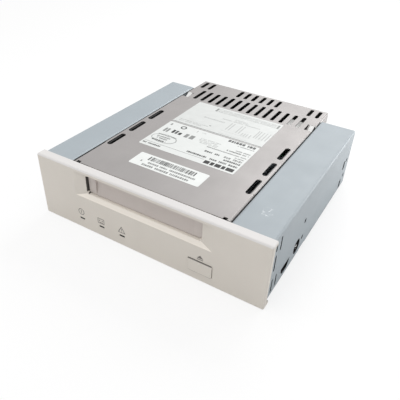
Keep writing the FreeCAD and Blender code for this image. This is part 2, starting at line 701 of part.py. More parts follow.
def cassette_door():
    """Flap with a finger scoop, hinge barrel and two pins; the left end is notched for its spring."""
    plate = box((-DOOR_HALF, DOOR_HALF), (DOOR_FRONT_Y, DOOR_AXIS_Y), (DOOR_BOTTOM, DOOR_TOP))
    plate = plate.makeFillet(DOOR_EDGE_GAP, edges_at(plate, y=DOOR_FRONT_Y, z=DOOR_BOTTOM))
    plate = plate.makeFillet(DOOR_BARREL_RADIUS, edges_at(plate, y=DOOR_FRONT_Y, z=DOOR_TOP))
    scoop_radius = ((SCOOP_HEIGHT / 2) ** 2 + SCOOP_DEPTH ** 2) / (2 * SCOOP_DEPTH)
    bulge_radius = scoop_radius + SCOOP_WALL
    behind_face = box(around(0, SCOOP_WIDTH), (DOOR_FRONT_Y + TOUCH, DOOR_FRONT_Y + bulge_radius),
                      (DOOR_BOTTOM, DOOR_AXIS_Z))
    bulge = scoop_cylinder(bulge_radius, SCOOP_DEPTH + SCOOP_WALL).common(behind_face)
    barrel = rod((-DOOR_HALF, DOOR_AXIS_Y, DOOR_AXIS_Z), X_AXIS, 2 * DOOR_HALF, DOOR_BARREL_RADIUS)
    door = cut(fuse(plate, bulge, barrel), scoop_cylinder(scoop_radius, SCOOP_DEPTH))
    notch = box((-DOOR_HALF - OVERRUN, -DOOR_HALF + SPRING_NOTCH), (0, TUNNEL_DEPTH),
                (DOOR_AXIS_Z - DOOR_AXIS_BELOW_TOP - FIT_GAP, SLOT_TOP))
    door = cut(door, notch)
    pin_reach = DOOR_HALF + DOOR_SIDE_GAP + TUNNEL_WALL - FIT_GAP
    left_pin = rod((-pin_reach, DOOR_AXIS_Y, DOOR_AXIS_Z), X_AXIS,
                   pin_reach - DOOR_HALF + 2 * SPRING_NOTCH, DOOR_PIN_RADIUS)
    right_pin = rod((DOOR_HALF - OVERRUN, DOOR_AXIS_Y, DOOR_AXIS_Z), X_AXIS,
                    pin_reach - DOOR_HALF + OVERRUN, DOOR_PIN_RADIUS)
    return fuse(door, left_pin, right_pin)


def door_spring():
    """Torsion spring round the left hinge pin: coil, leg on the door's back, tang in the bezel."""
    wire = SPRING_WIRE / 2
    outer = DOOR_AXIS_BELOW_TOP - FIT_GAP / 2
    pitch = (SPRING_NOTCH - 2 * wire) / SPRING_TURNS
    valleys = [(outer - wire, index * pitch) for index in range(SPRING_TURNS + 1)]
    crests = [(outer, (index + 0.5) * pitch) for index in range(SPRING_TURNS)]
    profile = sorted(valleys + crests, key=lambda point: point[1])
    inner = outer - SPRING_WIRE
    coil = revolved([(inner, 0)] + profile + [(inner, SPRING_TURNS * pitch)])
    coil.rotate(vector(0, 0, 0), Y_AXIS, 90)
    coil.translate(vector(-DOOR_HALF, DOOR_AXIS_Y, DOOR_AXIS_Z))
    leg_x = -DOOR_HALF + (SPRING_TURNS - 0.5) * pitch
    leg_top = DOOR_AXIS_Z - outer + SPRING_WIRE
    leg = box(around(leg_x, SPRING_WIRE), (DOOR_AXIS_Y, DOOR_AXIS_Y + SPRING_WIRE),
              (leg_top - SPRING_LEG, leg_top))
    tang_reach = DOOR_SIDE_GAP + TUNNEL_WALL / 4
    tang = box((-DOOR_HALF - tang_reach, -DOOR_HALF + pitch / 2), around(DOOR_AXIS_Y, SPRING_WIRE),
               (DOOR_AXIS_Z - outer + wire / 2, DOOR_AXIS_Z - outer + SPRING_WIRE))
    return fuse(coil, leg, tang)


# ================================================================ front panel electronics
def light_pipes():
    """One clear rod behind each window, with a flange against the inside of the bezel."""
    pipes = []
    for x in indicator_places():
        width = INDICATOR_WIDTH - 2 * PIPE_GAP
        height = INDICATOR_HEIGHT - 2 * PIPE_GAP
        core = box(around(x, width), (INDICATOR_SET_BACK, SWITCH_FRONT), around(INDICATOR_Z, height))
        flange = box(around(x, INDICATOR_WIDTH + PIPE_FLANGE), (BEZEL_WALL, BEZEL_WALL + PIPE_FLANGE),
                     around(INDICATOR_Z, INDICATOR_HEIGHT + PIPE_FLANGE))
        pipes.append(fuse(core, flange))
    return group(pipes)


def indicator_leds():
    lamps = []
    for x in indicator_places():
        body = box(around(x, INDICATOR_WIDTH),
                   (SWITCH_FRONT + FIT_GAP + INDICATOR_SET_BACK, FRONT_BOARD_Y),
                   around(INDICATOR_Z, 2 * INDICATOR_HEIGHT))
        lens = rod((x, SWITCH_FRONT + FIT_GAP, INDICATOR_Z), Y_AXIS, INDICATOR_SET_BACK, INDICATOR_HEIGHT / 2)
        lamps.append(fuse(body, lens))
    return group(lamps)


def eject_button():
    """Hollow key cap with retaining ears and a pusher that meets the switch plunger."""
    half_width = BUTTON_HOLE_WIDTH / 2 - BUTTON_GAP
    half_height = BUTTON_HOLE_HEIGHT / 2 - BUTTON_GAP
    x_span = (BUTTON_X - half_width, BUTTON_X + half_width)
    z_span = (BUTTON_Z - half_height, BUTTON_Z + half_height)
    cap = rounded_block(x_span, (-BUTTON_PROUD, BUTTON_DEPTH), z_span, BUTTON_ROUND - BUTTON_GAP, along="y")
    front_edges = [edge for edge in cap.Edges if abs(edge.BoundBox.YMax + BUTTON_PROUD) < TOUCH]
    cap = cap.makeFillet(BUTTON_GAP, front_edges)
    pocket = box((x_span[0] + BUTTON_WALL, x_span[1] - BUTTON_WALL),
                 (BUTTON_WALL - BUTTON_PROUD, BUTTON_DEPTH + OVERRUN),
                 (z_span[0] + BUTTON_WALL, z_span[1] - BUTTON_WALL))
    cap = cut(cap, pocket)
    ear_y = (BEZEL_WALL + BUTTON_GAP, BUTTON_DEPTH - BUTTON_GAP)
    ear_spans = ((x_span[0] - 2 * BUTTON_WALL, x_span[0] + BUTTON_WALL),
                 (x_span[1] - BUTTON_WALL, x_span[1] + 2 * BUTTON_WALL))
    ears = [box(span, ear_y, around(BUTTON_Z, half_height)) for span in ear_spans]
    plunger_front = SWITCH_FRONT - PLUNGER_PROUD
    pusher = rod((BUTTON_X, BUTTON_WALL / 2 - BUTTON_PROUD, BUTTON_Z), Y_AXIS,
                 plunger_front + BUTTON_PROUD - BUTTON_WALL / 2, PLUNGER_RADIUS)
    rib = box((x_span[0] + BUTTON_WALL / 2, x_span[1] - BUTTON_WALL / 2),
              (BUTTON_WALL / 2 - BUTTON_PROUD, BUTTON_DEPTH), around(BUTTON_Z, BUTTON_WALL))
    return fuse(cap, *ears, pusher, rib)


def switch_plunger():
    return rod((BUTTON_X, SWITCH_FRONT - PLUNGER_PROUD, BUTTON_Z), Y_AXIS,
               PLUNGER_PROUD + BUTTON_WALL / 2, PLUNGER_RADIUS)


def eject_switch():
    body = rounded_block(around(BUTTON_X, SWITCH_SIZE), (SWITCH_FRONT, FRONT_BOARD_Y),
                         around(BUTTON_Z, SWITCH_SIZE), BEZEL_EDGE_ROUND, along="y")
    bore = rod((BUTTON_X, SWITCH_FRONT - OVERRUN, BUTTON_Z), Y_AXIS,
               OVERRUN + BUTTON_WALL / 2 + BUTTON_TRAVEL + FIT_GAP, PLUNGER_RADIUS + RUNNING_GAP)
    return cut(body, bore)


def front_panel_board():
    board = box(around(0, FRONT_BOARD_WIDTH), (FRONT_BOARD_Y, FRONT_BOARD_REAR),
                (FRONT_BOARD_BOTTOM, FRONT_BOARD_TOP))
    holes = [rod((x, FRONT_BOARD_Y - OVERRUN, front_board_screw_z()), Y_AXIS,
                 FRONT_BOARD_SHEET + 2 * OVERRUN, SMALL_SCREW_RADIUS)
             for x in front_board_screw_places()]
    return cut(board, *holes)


def front_board_screw_z():
    return FRONT_BOARD_TOP - FRONT_BOARD_SCREW_DROP


def front_board_screw_places():
    end = FRONT_BOARD_WIDTH / 2 - FRONT_BOARD_SCREW_INSET
    return -end, 0, end


# ================================================================ top cover
def cover_channel(half_width, y_span):
    """An upside-down U of sheet: roof and two side flanges with rounded bends."""
    outside = box((-half_width, half_width), y_span, (UNIT_HEIGHT - COVER_FLANGE, UNIT_HEIGHT))
    outside = rounded(outside, COVER_BEND, x=-half_width, z=UNIT_HEIGHT)
    return rounded(outside, COVER_BEND, x=half_width, z=UNIT_HEIGHT)


def cover_hollow(half_width, y_span):
    """The space under a cover channel."""
    inner_half = half_width - COVER_SHEET
    space = box((-inner_half, inner_half), y_span,
                (UNIT_HEIGHT - COVER_REAR_FLANGE - OVERRUN, COVER_UNDER))
    space = rounded(space, COVER_BEND - COVER_SHEET, x=-inner_half, z=COVER_UNDER)
    return rounded(space, COVER_BEND - COVER_SHEET, x=inner_half, z=COVER_UNDER)


def vent_places():
    """Offsets of the vent slots from the middle, in pitches: half steps, so that none is on the middle."""
    return [index - (VENT_COUNT - 1) / 2 for index in range(VENT_COUNT)]


def rear_vent_places():
    outer = VENT_COUNT / 2 + 0.5
    places = [place for place in vent_places() if abs(place) not in VENT_BLANKS]
    return [-outer] + places + [outer]


def top_cover():
    """Pressed sheet cover: joggled channel, rear flange, side slots, two rows of vents, edge tongues."""
    joggle_y = BEZEL_DEPTH + JOGGLE_LENGTH
    narrow_half = DRIVE_HALF - JOGGLE_STEP
    rear = cover_channel(DRIVE_HALF, (joggle_y, DRIVE_REAR))
    skirt = box((-DRIVE_HALF, DRIVE_HALF), (DRIVE_REAR - COVER_SHEET, DRIVE_REAR),
                (UNIT_HEIGHT - COVER_REAR_FLANGE, UNIT_HEIGHT - COVER_FLANGE))
    rear = fuse(rear, skirt)
    rear = rounded(rear, COVER_BEND, y=DRIVE_REAR, z=UNIT_HEIGHT)
    rear_hollow = cover_hollow(DRIVE_HALF, (joggle_y - OVERRUN, DRIVE_REAR - COVER_SHEET))
    rear = cut(rear, rear_hollow)
    front_y = BEZEL_DEPTH + COVER_FRONT_GAP
    front = cut(cover_channel(narrow_half, (front_y, joggle_y + COVER_SHEET)),
                cover_hollow(narrow_half, (BEZEL_DEPTH - OVERRUN, joggle_y + COVER_SHEET + OVERRUN)))
    cover = fuse(rear, front)

    pierce = (COVER_UNDER - OVERRUN, UNIT_HEIGHT + OVERRUN)
    tools = []
    for index in range(SIDE_SLOT_COUNT):
        slot = slot_hole(DRIVE_HALF - SIDE_SLOT_INSET, SIDE_SLOT_FIRST_Y + index * SIDE_SLOT_PITCH,
                         SIDE_SLOT_WIDTH, SIDE_SLOT_LENGTH, pierce)
        tools += both_sides(slot)
    tools += [slot_hole(place * VENT_PITCH, VENT_FRONT_Y + VENT_LENGTH / 2, VENT_WIDTH, VENT_LENGTH, pierce)
              for place in vent_places()]
    tools += [slot_hole(place * VENT_PITCH, VENT_REAR_Y + VENT_REAR_LENGTH / 2, VENT_WIDTH,
                        VENT_REAR_LENGTH, pierce) for place in rear_vent_places()]
    window = box((DRIVE_HALF - TONGUE_WIDTH - COVER_SHEET, DRIVE_HALF + OVERRUN),
                 (TONGUE_REAR_Y - TONGUE_WINDOW, TONGUE_REAR_Y),
                 (COVER_UNDER - TONGUE_DROP, UNIT_HEIGHT + OVERRUN))
    tools += both_sides(window)
    notch = box(around(narrow_half - COVER_NOTCH_INSET, COVER_NOTCH_WIDTH),
                (BEZEL_DEPTH, front_y + COVER_NOTCH_LENGTH), pierce)
    tools += both_sides(notch)
    return fuse(cut(cover, *tools), *both_sides(edge_tongue()))


def edge_tongue():
    """A tongue of the roof, lanced free at the edge and bent down towards the front."""
    free_y = TONGUE_REAR_Y - TONGUE_LENGTH
    root_y = TONGUE_REAR_Y + COVER_SHEET
    profile = ((0, root_y, UNIT_HEIGHT), (0, TONGUE_REAR_Y, UNIT_HEIGHT),
               (0, free_y, UNIT_HEIGHT - TONGUE_DROP), (0, free_y, COVER_UNDER - TONGUE_DROP),
               (0, TONGUE_REAR_Y, COVER_UNDER), (0, root_y, COVER_UNDER))
    tongue = prism(profile, X_AXIS, TONGUE_WIDTH - COVER_BEND)
    tongue.translate(vector(DRIVE_HALF - TONGUE_WIDTH, 0, 0))
    return tongue


# ================================================================ brackets
def wall_slot(y, z, y_size, z_size, x_span):
    """A tool with round ends for a slot in an upright side wall."""
    radius = min(y_size, z_size) / 2 - TOUCH
    return rounded_block(x_span, around(y, y_size), around(z, z_size), radius, along="x")


def bay_hole_ys():
    first = BEZEL_DEPTH + BAY_HOLE_FRONT
    return first, first + BAY_HOLE_PITCH


def bay_hole_zs():
    return BAY_HOLE_LOW, BAY_HOLE_LOW + BAY_HOLE_RISE


def bracket_right_hand(inner_x, outer_x):
    """Folded sheet adapter between the drive's side and the bay's side, at the right of the drive."""
    y_span = (BEZEL_DEPTH, BAY_REAR)
    sheet = BRACKET_SHEET
    outside = box((inner_x, outer_x), y_span, (0, UNIT_HEIGHT))
    for place in ({"x": inner_x, "z": UNIT_HEIGHT}, {"x": outer_x, "z": UNIT_HEIGHT}, {"x": outer_x, "z": 0}):
        outside = rounded(outside, BRACKET_BEND, **place)
    space_x = (inner_x + sheet, outer_x - sheet)
    space = box(space_x, (y_span[0] - OVERRUN, y_span[1] + OVERRUN), (sheet, UNIT_HEIGHT - sheet))
    for place in ({"x": space_x[0], "z": UNIT_HEIGHT - sheet}, {"x": space_x[1], "z": UNIT_HEIGHT - sheet},
                  {"x": space_x[1], "z": sheet}):
        space = rounded(space, BRACKET_BEND - sheet, **place)
    open_bottom = box((inner_x - OVERRUN, outer_x - BRACKET_FOOT), (y_span[0] - OVERRUN, y_span[1] + OVERRUN),
                      (-OVERRUN, BRACKET_INNER_BOTTOM))
    bracket = cut(outside, space, open_bottom)
    front_edge = box((outer_x - sheet, outer_x), (SIDE_RIM_DEPTH + FIT_GAP, BEZEL_DEPTH + sheet),
                     (BEZEL_WALL + FIT_GAP, BEZEL_HEIGHT - BEZEL_WALL - FIT_GAP))
    bracket = fuse(bracket, front_edge)

    collars, holes = bay_fixings(outer_x)
    hook_z = around(DRIVE_SCREW_Z, HOOK_HEIGHT)
    hook = box((inner_x - HOOK_REACH, inner_x + sheet / 2), around(HOOK_Y, sheet), hook_z)
    hook_window = box((inner_x - OVERRUN, inner_x + sheet + OVERRUN),
                      (HOOK_Y + sheet / 2, HOOK_Y + sheet / 2 + HOOK_REACH), hook_z)
    bracket = cut(fuse(bracket, *collars), hook_window, *holes, *bracket_openings(inner_x, outer_x))
    return fuse(bracket, hook)


def bay_fixings(outer_x):
    """Extruded collars and tapped holes: four in the outer wall and two in the foot."""
    wall_inside = outer_x - BRACKET_SHEET
    foot_x = outer_x - BOTTOM_HOLE_INSET
    collar_radius = BAY_HOLE_RADIUS + COLLAR_WALL
    collars = []
    holes = []
    for y in bay_hole_ys():
        for z in bay_hole_zs():
            collars.append(rod((wall_inside - COLLAR_HEIGHT, y, z), X_AXIS,
                               COLLAR_HEIGHT + BRACKET_SHEET / 2, collar_radius))
            holes.append(rod((wall_inside - COLLAR_HEIGHT - OVERRUN, y, z), X_AXIS, BRACKET_FOOT,
                             BAY_HOLE_RADIUS))
        collar_top = BRACKET_SHEET + COLLAR_HEIGHT
        collars.append(post(foot_x, y, (BRACKET_SHEET / 2, collar_top), collar_radius))
        holes.append(post(foot_x, y, (-OVERRUN, collar_top + OVERRUN), BAY_HOLE_RADIUS))
    return collars, holes


def bracket_openings(inner_x, outer_x):
    """Cut-outs of the outer wall, and the screw hole of the inner wall."""
    wall = (outer_x - 2 * BRACKET_SHEET, outer_x + OVERRUN)
    tall_slots = ((LATCH_Y_UPPER, LATCH_Z_UPPER, LATCH_HEIGHT_UPPER),
                  (RELIEF_Y_UPPER, RELIEF_Z_UPPER, RELIEF_HEIGHT_UPPER),
                  (LATCH_Y_LOWER, LATCH_Z_LOWER, LATCH_HEIGHT_LOWER),
                  (RELIEF_Y_LOWER, RELIEF_Z_LOWER, RELIEF_HEIGHT_LOWER),
                  (MIDDLE_SLOT_Y, MIDDLE_SLOT_Z, MIDDLE_SLOT_HEIGHT))
    tools = [wall_slot(y, z, LATCH_SLOT_WIDTH, height, wall) for y, z, height in tall_slots]
    tools += [wall_slot(REAR_SLOT_Y, z, REAR_SLOT_WIDTH, REAR_SLOT_HEIGHT, wall)
              for z in (REAR_SLOT_HIGH_Z, REAR_SLOT_LOW_Z)]
    tools.append(box(wall, lug_slot(), around(LUG_Z, LUG_HEIGHT)))
    tools.append(box(wall, lug_slot(), (BEZEL_WALL + LUG_DEPTH, BEZEL_WALL + LUG_DEPTH + LUG_HEIGHT)))
    round_part = rod((wall[0], D_HOLE_Y, D_HOLE_Z), X_AXIS, wall[1] - wall[0], D_HOLE_HALF_WIDTH)
    lower_half = box(wall, around(D_HOLE_Y, 2 * D_HOLE_HALF_WIDTH), (D_HOLE_Z - D_HOLE_RADIUS, D_HOLE_Z))
    tools.append(round_part.common(lower_half))
    tools.append(rod((wall[0], DRIVE_SCREW_Y, DRIVE_SCREW_Z), X_AXIS, wall[1] - wall[0], ACCESS_RADIUS))
    tools.append(box((outer_x - 2 * BRACKET_BEND, outer_x + OVERRUN),
                     around(EDGE_NOTCH_Y, EDGE_NOTCH_LENGTH), (-OVERRUN, EDGE_NOTCH_HEIGHT)))
    tools.append(rod((inner_x - OVERRUN, DRIVE_SCREW_Y, DRIVE_SCREW_Z), X_AXIS,
                     2 * OVERRUN + BRACKET_SHEET, DRIVE_SCREW_RADIUS + SCREW_HOLE_PLAY))
    return tools


def bay_side(side):
    """Distance from the drive's middle to the bay's side wall on the given hand."""
    return BAY_WIDTH / 2 + side * BAY_X


def right_bracket():
    return bracket_right_hand(DRIVE_HALF, bay_side(1))


def left_bracket():
    """The other hand, wider or narrower because the drive sits off the middle of the bay."""
    mirror_plane = vector(BAY_X, 0, 0)
    inner_x = 2 * BAY_X + DRIVE_HALF
    return bracket_right_hand(inner_x, bay_side(1)).mirror(mirror_plane, X_AXIS)


def bracket_screws():
    """Pan head screws that hold the inner walls of the brackets to the chassis."""
    seat = DRIVE_HALF + BRACKET_SHEET
    shank = rod((CHASSIS_LOWER_INNER, DRIVE_SCREW_Y, DRIVE_SCREW_Z), X_AXIS,
                seat - CHASSIS_LOWER_INNER + FIT_GAP, DRIVE_SCREW_RADIUS)
    head = rod((seat, DRIVE_SCREW_Y, DRIVE_SCREW_Z), X_AXIS, SCREW_HEAD_HEIGHT, SCREW_HEAD_RADIUS)
    head = head.makeFillet(SCREW_HEAD_HEIGHT / 2, edges_at(head, x=seat + SCREW_HEAD_HEIGHT))
    arms = ((SCREW_HEAD_RADIUS, CROSS_WIDTH), (CROSS_WIDTH, SCREW_HEAD_RADIUS))
    cross = [box((seat + SCREW_HEAD_HEIGHT / 2, seat + 2 * SCREW_HEAD_HEIGHT),
                 around(DRIVE_SCREW_Y, wide), around(DRIVE_SCREW_Z, tall)) for wide, tall in arms]
    return group(both_sides(cut(fuse(shank, head), *cross)))


# ================================================================ chassis
def lower_chassis():
    """Die-cast frame: stepped side walls, ledges for the board and the bottom cover, lip and deck lugs."""
    wall_profile = ((DRIVE_HALF, BOTTOM_SHEET), (DRIVE_HALF, CHASSIS_SHELF_Z),
                    (CHASSIS_UPPER_HALF, CHASSIS_SHELF_Z),
                    (CHASSIS_UPPER_HALF, COVER_UNDER - COVER_BEND),
                    (CHASSIS_UPPER_HALF - COVER_BEND, COVER_UNDER),
                    (CHASSIS_INNER_HALF, COVER_UNDER), (CHASSIS_INNER_HALF, CHASSIS_SHELF_Z - CHASSIS_STEP),
                    (CHASSIS_LOWER_INNER, CHASSIS_SHELF_Z - 2 * CHASSIS_STEP),
                    (CHASSIS_LOWER_INNER, BOTTOM_SHEET))
    length = DRIVE_REAR - COVER_SHEET - FIT_GAP - CHASSIS_FRONT_Y
    wall = prism([(x, CHASSIS_FRONT_Y, z) for x, z in wall_profile], Y_AXIS, length)
    rear_y = CHASSIS_FRONT_Y + length
    ledge = box((DRIVE_HALF - LEDGE_WIDTH, DRIVE_HALF - CHASSIS_WALL / 2), (CHASSIS_FRONT_Y, rear_y),
                (BOTTOM_SHEET, LEDGE_TOP))
    pieces = [wall, ledge]
    for y in DAMPER_YS:
        pieces.append(box((DAMPER_X - DAMPER_RADIUS, DRIVE_HALF - CHASSIS_WALL / 2),
                          around(y, 3 * DAMPER_RADIUS), (DAMPER_SEAT - LUG_THICKNESS, DAMPER_SEAT)))
    for y in BOARD_SCREWS_Y:
        pieces.append(post(BOARD_SCREW_X, y, (BOTTOM_SHEET, BOARD_Z), BOARD_POST_RADIUS))
    side = fuse(*pieces)
    side = cut(side, *chassis_side_holes())
    lip = box((-DRIVE_HALF + CHASSIS_WALL / 2, DRIVE_HALF - CHASSIS_WALL / 2),
              (FRONT_BOARD_REAR, FRONT_BOARD_REAR + LIP_THICKNESS), (BOTTOM_SHEET, LIP_TOP))
    rear_bar = box((-DRIVE_HALF + CHASSIS_WALL / 2, DRIVE_HALF - CHASSIS_WALL / 2),
                   (rear_y - CHASSIS_WALL, rear_y), (BOTTOM_SHEET, LEDGE_TOP))
    lip_holes = [rod((x, FRONT_BOARD_REAR - OVERRUN, front_board_screw_z()), Y_AXIS,
                     LIP_THICKNESS + 2 * OVERRUN, SMALL_SCREW_RADIUS) for x in front_board_screw_places()]
    cable_gap = box(around(0, CABLE_GAP_WIDTH),
                    (FRONT_BOARD_REAR - OVERRUN, FRONT_BOARD_REAR + LIP_THICKNESS + OVERRUN),
                    (BOARD_TOP, BOARD_TOP + CABLE_GAP_HEIGHT))
    return fuse(*both_sides(side), cut(lip, cable_gap, *lip_holes), rear_bar)


def chassis_side_holes():
    """Tapped and clear holes of one side wall."""
    tools = [rod((CHASSIS_LOWER_INNER - OVERRUN, DRIVE_SCREW_Y, DRIVE_SCREW_Z), X_AXIS,
                 CHASSIS_WALL + 2 * OVERRUN, DRIVE_SCREW_RADIUS)]
    tools.append(box((CHASSIS_LOWER_INNER - OVERRUN, DRIVE_HALF + OVERRUN),
                     around(HOOK_Y, BRACKET_SHEET + 2 * HOOK_GAP),
                     around(DRIVE_SCREW_Z, HOOK_HEIGHT + 2 * HOOK_GAP)))
    for y in DAMPER_YS:
        tools.append(post(DAMPER_X, y, (DAMPER_SEAT - LUG_THICKNESS - OVERRUN, DAMPER_SEAT + OVERRUN),
                          SMALL_SCREW_RADIUS))
    for y in BOARD_SCREWS_Y:
        tools.append(post(BOARD_SCREW_X, y, (LEDGE_TOP, BOARD_Z + OVERRUN), SMALL_SCREW_RADIUS))
    for y in BOTTOM_SCREWS_Y:
        tools.append(post(BOTTOM_SCREW_X, y, (0, LEDGE_TOP + OVERRUN), SMALL_SCREW_RADIUS))
    tools.append(box((CHASSIS_INNER_HALF - OVERRUN, DRIVE_HALF),
                     (TONGUE_REAR_Y - TONGUE_WINDOW, TONGUE_REAR_Y),
                     (COVER_UNDER - TONGUE_DROP - FIT_GAP, UNIT_HEIGHT)))
    return tools


def bottom_screw_places():
    return [(side * BOTTOM_SCREW_X, y) for side in (-1, 1) for y in BOTTOM_SCREWS_Y]


def countersink(x, y):
    """The cone of a flat head screw, its face on the bottom."""
    return Part.makeCone(SMALL_HEAD_RADIUS, SMALL_SCREW_RADIUS, BOTTOM_SHEET, vector(x, y, 0), Z_AXIS)


def bottom_cover():
    """Flat steel plate under the board, with vents and a window for the option switches."""
    plate = rounded_block((-DRIVE_HALF, DRIVE_HALF), (CHASSIS_FRONT_Y, DRIVE_REAR - COVER_SHEET - FIT_GAP),
                          (0, BOTTOM_SHEET), COVER_CORNER)
    through = (-OVERRUN, BOTTOM_SHEET + OVERRUN)
    tools = [countersink(x, y) for x, y in bottom_screw_places()]
    tools.append(box(around(DIP_X, DIP_LENGTH + 2 * DIP_WINDOW_GAP),
                     around(DIP_Y, DIP_DEPTH + 2 * DIP_WINDOW_GAP), through))
    middle = (BOTTOM_VENT_COUNT - 1) / 2
    tools += [slot_hole((index - middle) * BOTTOM_VENT_PITCH, BOTTOM_VENT_Y, BOTTOM_VENT_WIDTH,
                        BOTTOM_VENT_LENGTH, through) for index in range(BOTTOM_VENT_COUNT)]
    return cut(plate, *tools)


def bottom_screws():
    screws = []
    for x, y in bottom_screw_places():
        shank = post(x, y, (BOTTOM_SHEET / 2, LEDGE_TOP), SMALL_SCREW_RADIUS)
        recess = [box(around(x, wide), around(y, tall), (-OVERRUN, BOTTOM_SHEET / 2))
                  for wide, tall in ((SMALL_HEAD_RADIUS, CROSS_WIDTH), (CROSS_WIDTH, SMALL_HEAD_RADIUS))]
        screws.append(cut(fuse(countersink(x, y), shank), *recess))
    return group(screws)


# ================================================================ main board
def board_screw_places():
    return [(side * BOARD_SCREW_X, y) for side in (-1, 1) for y in BOARD_SCREWS_Y]


def small_screw(x, y, seat_z, reach):
    """Small pan head screw standing in a hole, its head on seat_z."""
    shank = post(x, y, (seat_z - reach, seat_z), SMALL_SCREW_RADIUS)
    head = post(x, y, (seat_z, seat_z + SMALL_HEAD_HEIGHT), SMALL_HEAD_RADIUS)
    head = head.makeFillet(SMALL_HEAD_HEIGHT / 2, edges_at(head, z=seat_z + SMALL_HEAD_HEIGHT))
    return fuse(shank, head)


def main_board():
    board = box(around(0, BOARD_WIDTH), (BOARD_FRONT_Y, DRIVE_REAR - BOARD_REAR_GAP), (BOARD_Z, BOARD_TOP))
    holes = [post(x, y, (BOARD_Z - OVERRUN, BOARD_TOP + OVERRUN), SMALL_SCREW_RADIUS)
             for x, y in board_screw_places()]
    return cut(board, *holes)


def small_screws():
    """Screws of the main board, of the tape deck, and of the front panel board on the chassis lip."""
    screws = [small_screw(x, y, BOARD_TOP, BOARD_TOP - LEDGE_TOP) for x, y in board_screw_places()]
    for x in front_board_screw_places():
        upright = small_screw(0, 0, 0, FRONT_BOARD_SHEET + LIP_THICKNESS)
        upright.rotate(vector(0, 0, 0), X_AXIS, 90)
        upright.translate(vector(x, FRONT_BOARD_Y, front_board_screw_z()))
        screws.append(upright)
    screws += [small_screw(side * DAMPER_X, y, DECK_TOP, DECK_TOP - DAMPER_SEAT + LUG_THICKNESS)
               for side in (-1, 1) for y in DAMPER_YS]
    return group(screws)


def board_chips():
    """Chip packages on the underside of the main board, where the height is."""
    return group(box(around(x, width), around(y, length), (BOARD_Z - height, BOARD_Z))
                 for x, y, width, length, height in CHIPS)


def board_capacitors():
    """Can capacitors on the top of the board, in front of the connectors."""
    top = BOARD_TOP + CAPACITOR_HEIGHT
    cans = [post(x, CAPACITOR_Y, (BOARD_TOP, top), CAPACITOR_RADIUS) for x in CAPACITOR_XS]
    return group(rounded(can, CAPACITOR_ROUND, z=top) for can in cans)


def scsi_connector():
    """Shrouded fifty way header, open to the rear."""
    x_span = around(SCSI_X, SCSI_WIDTH)
    y_span = (DRIVE_REAR - COVER_SHEET - SCSI_DEPTH, DRIVE_REAR - COVER_SHEET)
    z_span = (BOARD_TOP, BOARD_TOP + SCSI_HEIGHT)
    shell = box(x_span, y_span, z_span)
    pocket = box((x_span[0] + SCSI_SHELL, x_span[1] - SCSI_SHELL),
                 (y_span[1] - PIN_REACH - SCSI_SHELL, y_span[1] + OVERRUN),
                 (z_span[0] + SCSI_SHELL, z_span[1] - SCSI_SHELL))
    key = box(around(SCSI_X, SCSI_KEY_WIDTH), (y_span[1] - PIN_REACH, y_span[1] + OVERRUN),
              (z_span[1] - 2 * SCSI_SHELL, z_span[1] + OVERRUN))
    return cut(shell, pocket, key)


def scsi_pins():
    base_y = DRIVE_REAR - COVER_SHEET - PIN_REACH - SCSI_SHELL
    middle_z = BOARD_TOP + SCSI_HEIGHT / 2
    pins = []
    for row in (-0.5, 0.5):
        for column in range(SCSI_COLUMNS):
            x = SCSI_X + (column - (SCSI_COLUMNS - 1) / 2) * PIN_PITCH
            pins.append(box(around(x, PIN_SIZE), (base_y, base_y + PIN_REACH),
                            around(middle_z + row * PIN_PITCH, PIN_SIZE)))
    return pins


def power_connector():
    """Four way disk power header: the cavity's upper corners are cut off so that a plug fits one way."""
    x_span = around(POWER_X, POWER_WIDTH)
    y_span = (DRIVE_REAR - COVER_SHEET - POWER_DEPTH, DRIVE_REAR - COVER_SHEET)
    z_span = (BOARD_TOP, BOARD_TOP + POWER_HEIGHT)
    shell = box(x_span, y_span, z_span)
    low_x, high_x = x_span[0] + POWER_SHELL, x_span[1] - POWER_SHELL
    low_z, high_z = z_span[0] + POWER_SHELL, z_span[1] - POWER_SHELL
    front_y = y_span[0] + POWER_SHELL
    bevel_z = high_z - POWER_BEVEL
    outline = ((low_x, front_y, low_z), (high_x, front_y, low_z), (high_x, front_y, bevel_z),
               (high_x - POWER_BEVEL, front_y, high_z), (low_x + POWER_BEVEL, front_y, high_z),
               (low_x, front_y, bevel_z))
    return cut(shell, prism(outline, Y_AXIS, POWER_DEPTH))


def power_pins():
    base_y = DRIVE_REAR - COVER_SHEET - POWER_DEPTH + POWER_SHELL
    middle = (POWER_PIN_COUNT - 1) / 2
    pins = []
    for index in range(POWER_PIN_COUNT):
        x = POWER_X + (index - middle) * POWER_PIN_PITCH
        length = POWER_DEPTH - 2 * POWER_SHELL
        pin = rod((x, base_y, BOARD_TOP + POWER_HEIGHT / 2), Y_AXIS, length, POWER_PIN_RADIUS)
        pins.append(rounded(pin, POWER_PIN_RADIUS / 2, y=base_y + length))
    return pins


def connector_pins():
    return group(scsi_pins() + power_pins())


def jumper_block():
    """Option header: pins in two columns, set in one block."""
    width = 2 * PIN_PITCH
    height = JUMPER_ROWS * PIN_PITCH
    y_span = (DRIVE_REAR - COVER_SHEET - SCSI_DEPTH, DRIVE_REAR - COVER_SHEET - PIN_REACH - SCSI_SHELL)
    block = box(around(JUMPER_X, width), y_span, (BOARD_TOP, BOARD_TOP + height))
    pins = []
    for column in (-0.5, 0.5):
        for row in range(JUMPER_ROWS):
            z = BOARD_TOP + (row + 0.5) * PIN_PITCH
            pins.append(box(around(JUMPER_X + column * PIN_PITCH, PIN_SIZE),
                            (y_span[1] - OVERRUN, y_span[1] + PIN_REACH), around(z, PIN_SIZE)))
    return fuse(block, *pins)


def dip_lever_places():
    middle = (DIP_COUNT - 1) / 2
    return [DIP_X + (index - middle) * PIN_PITCH for index in range(DIP_COUNT)]


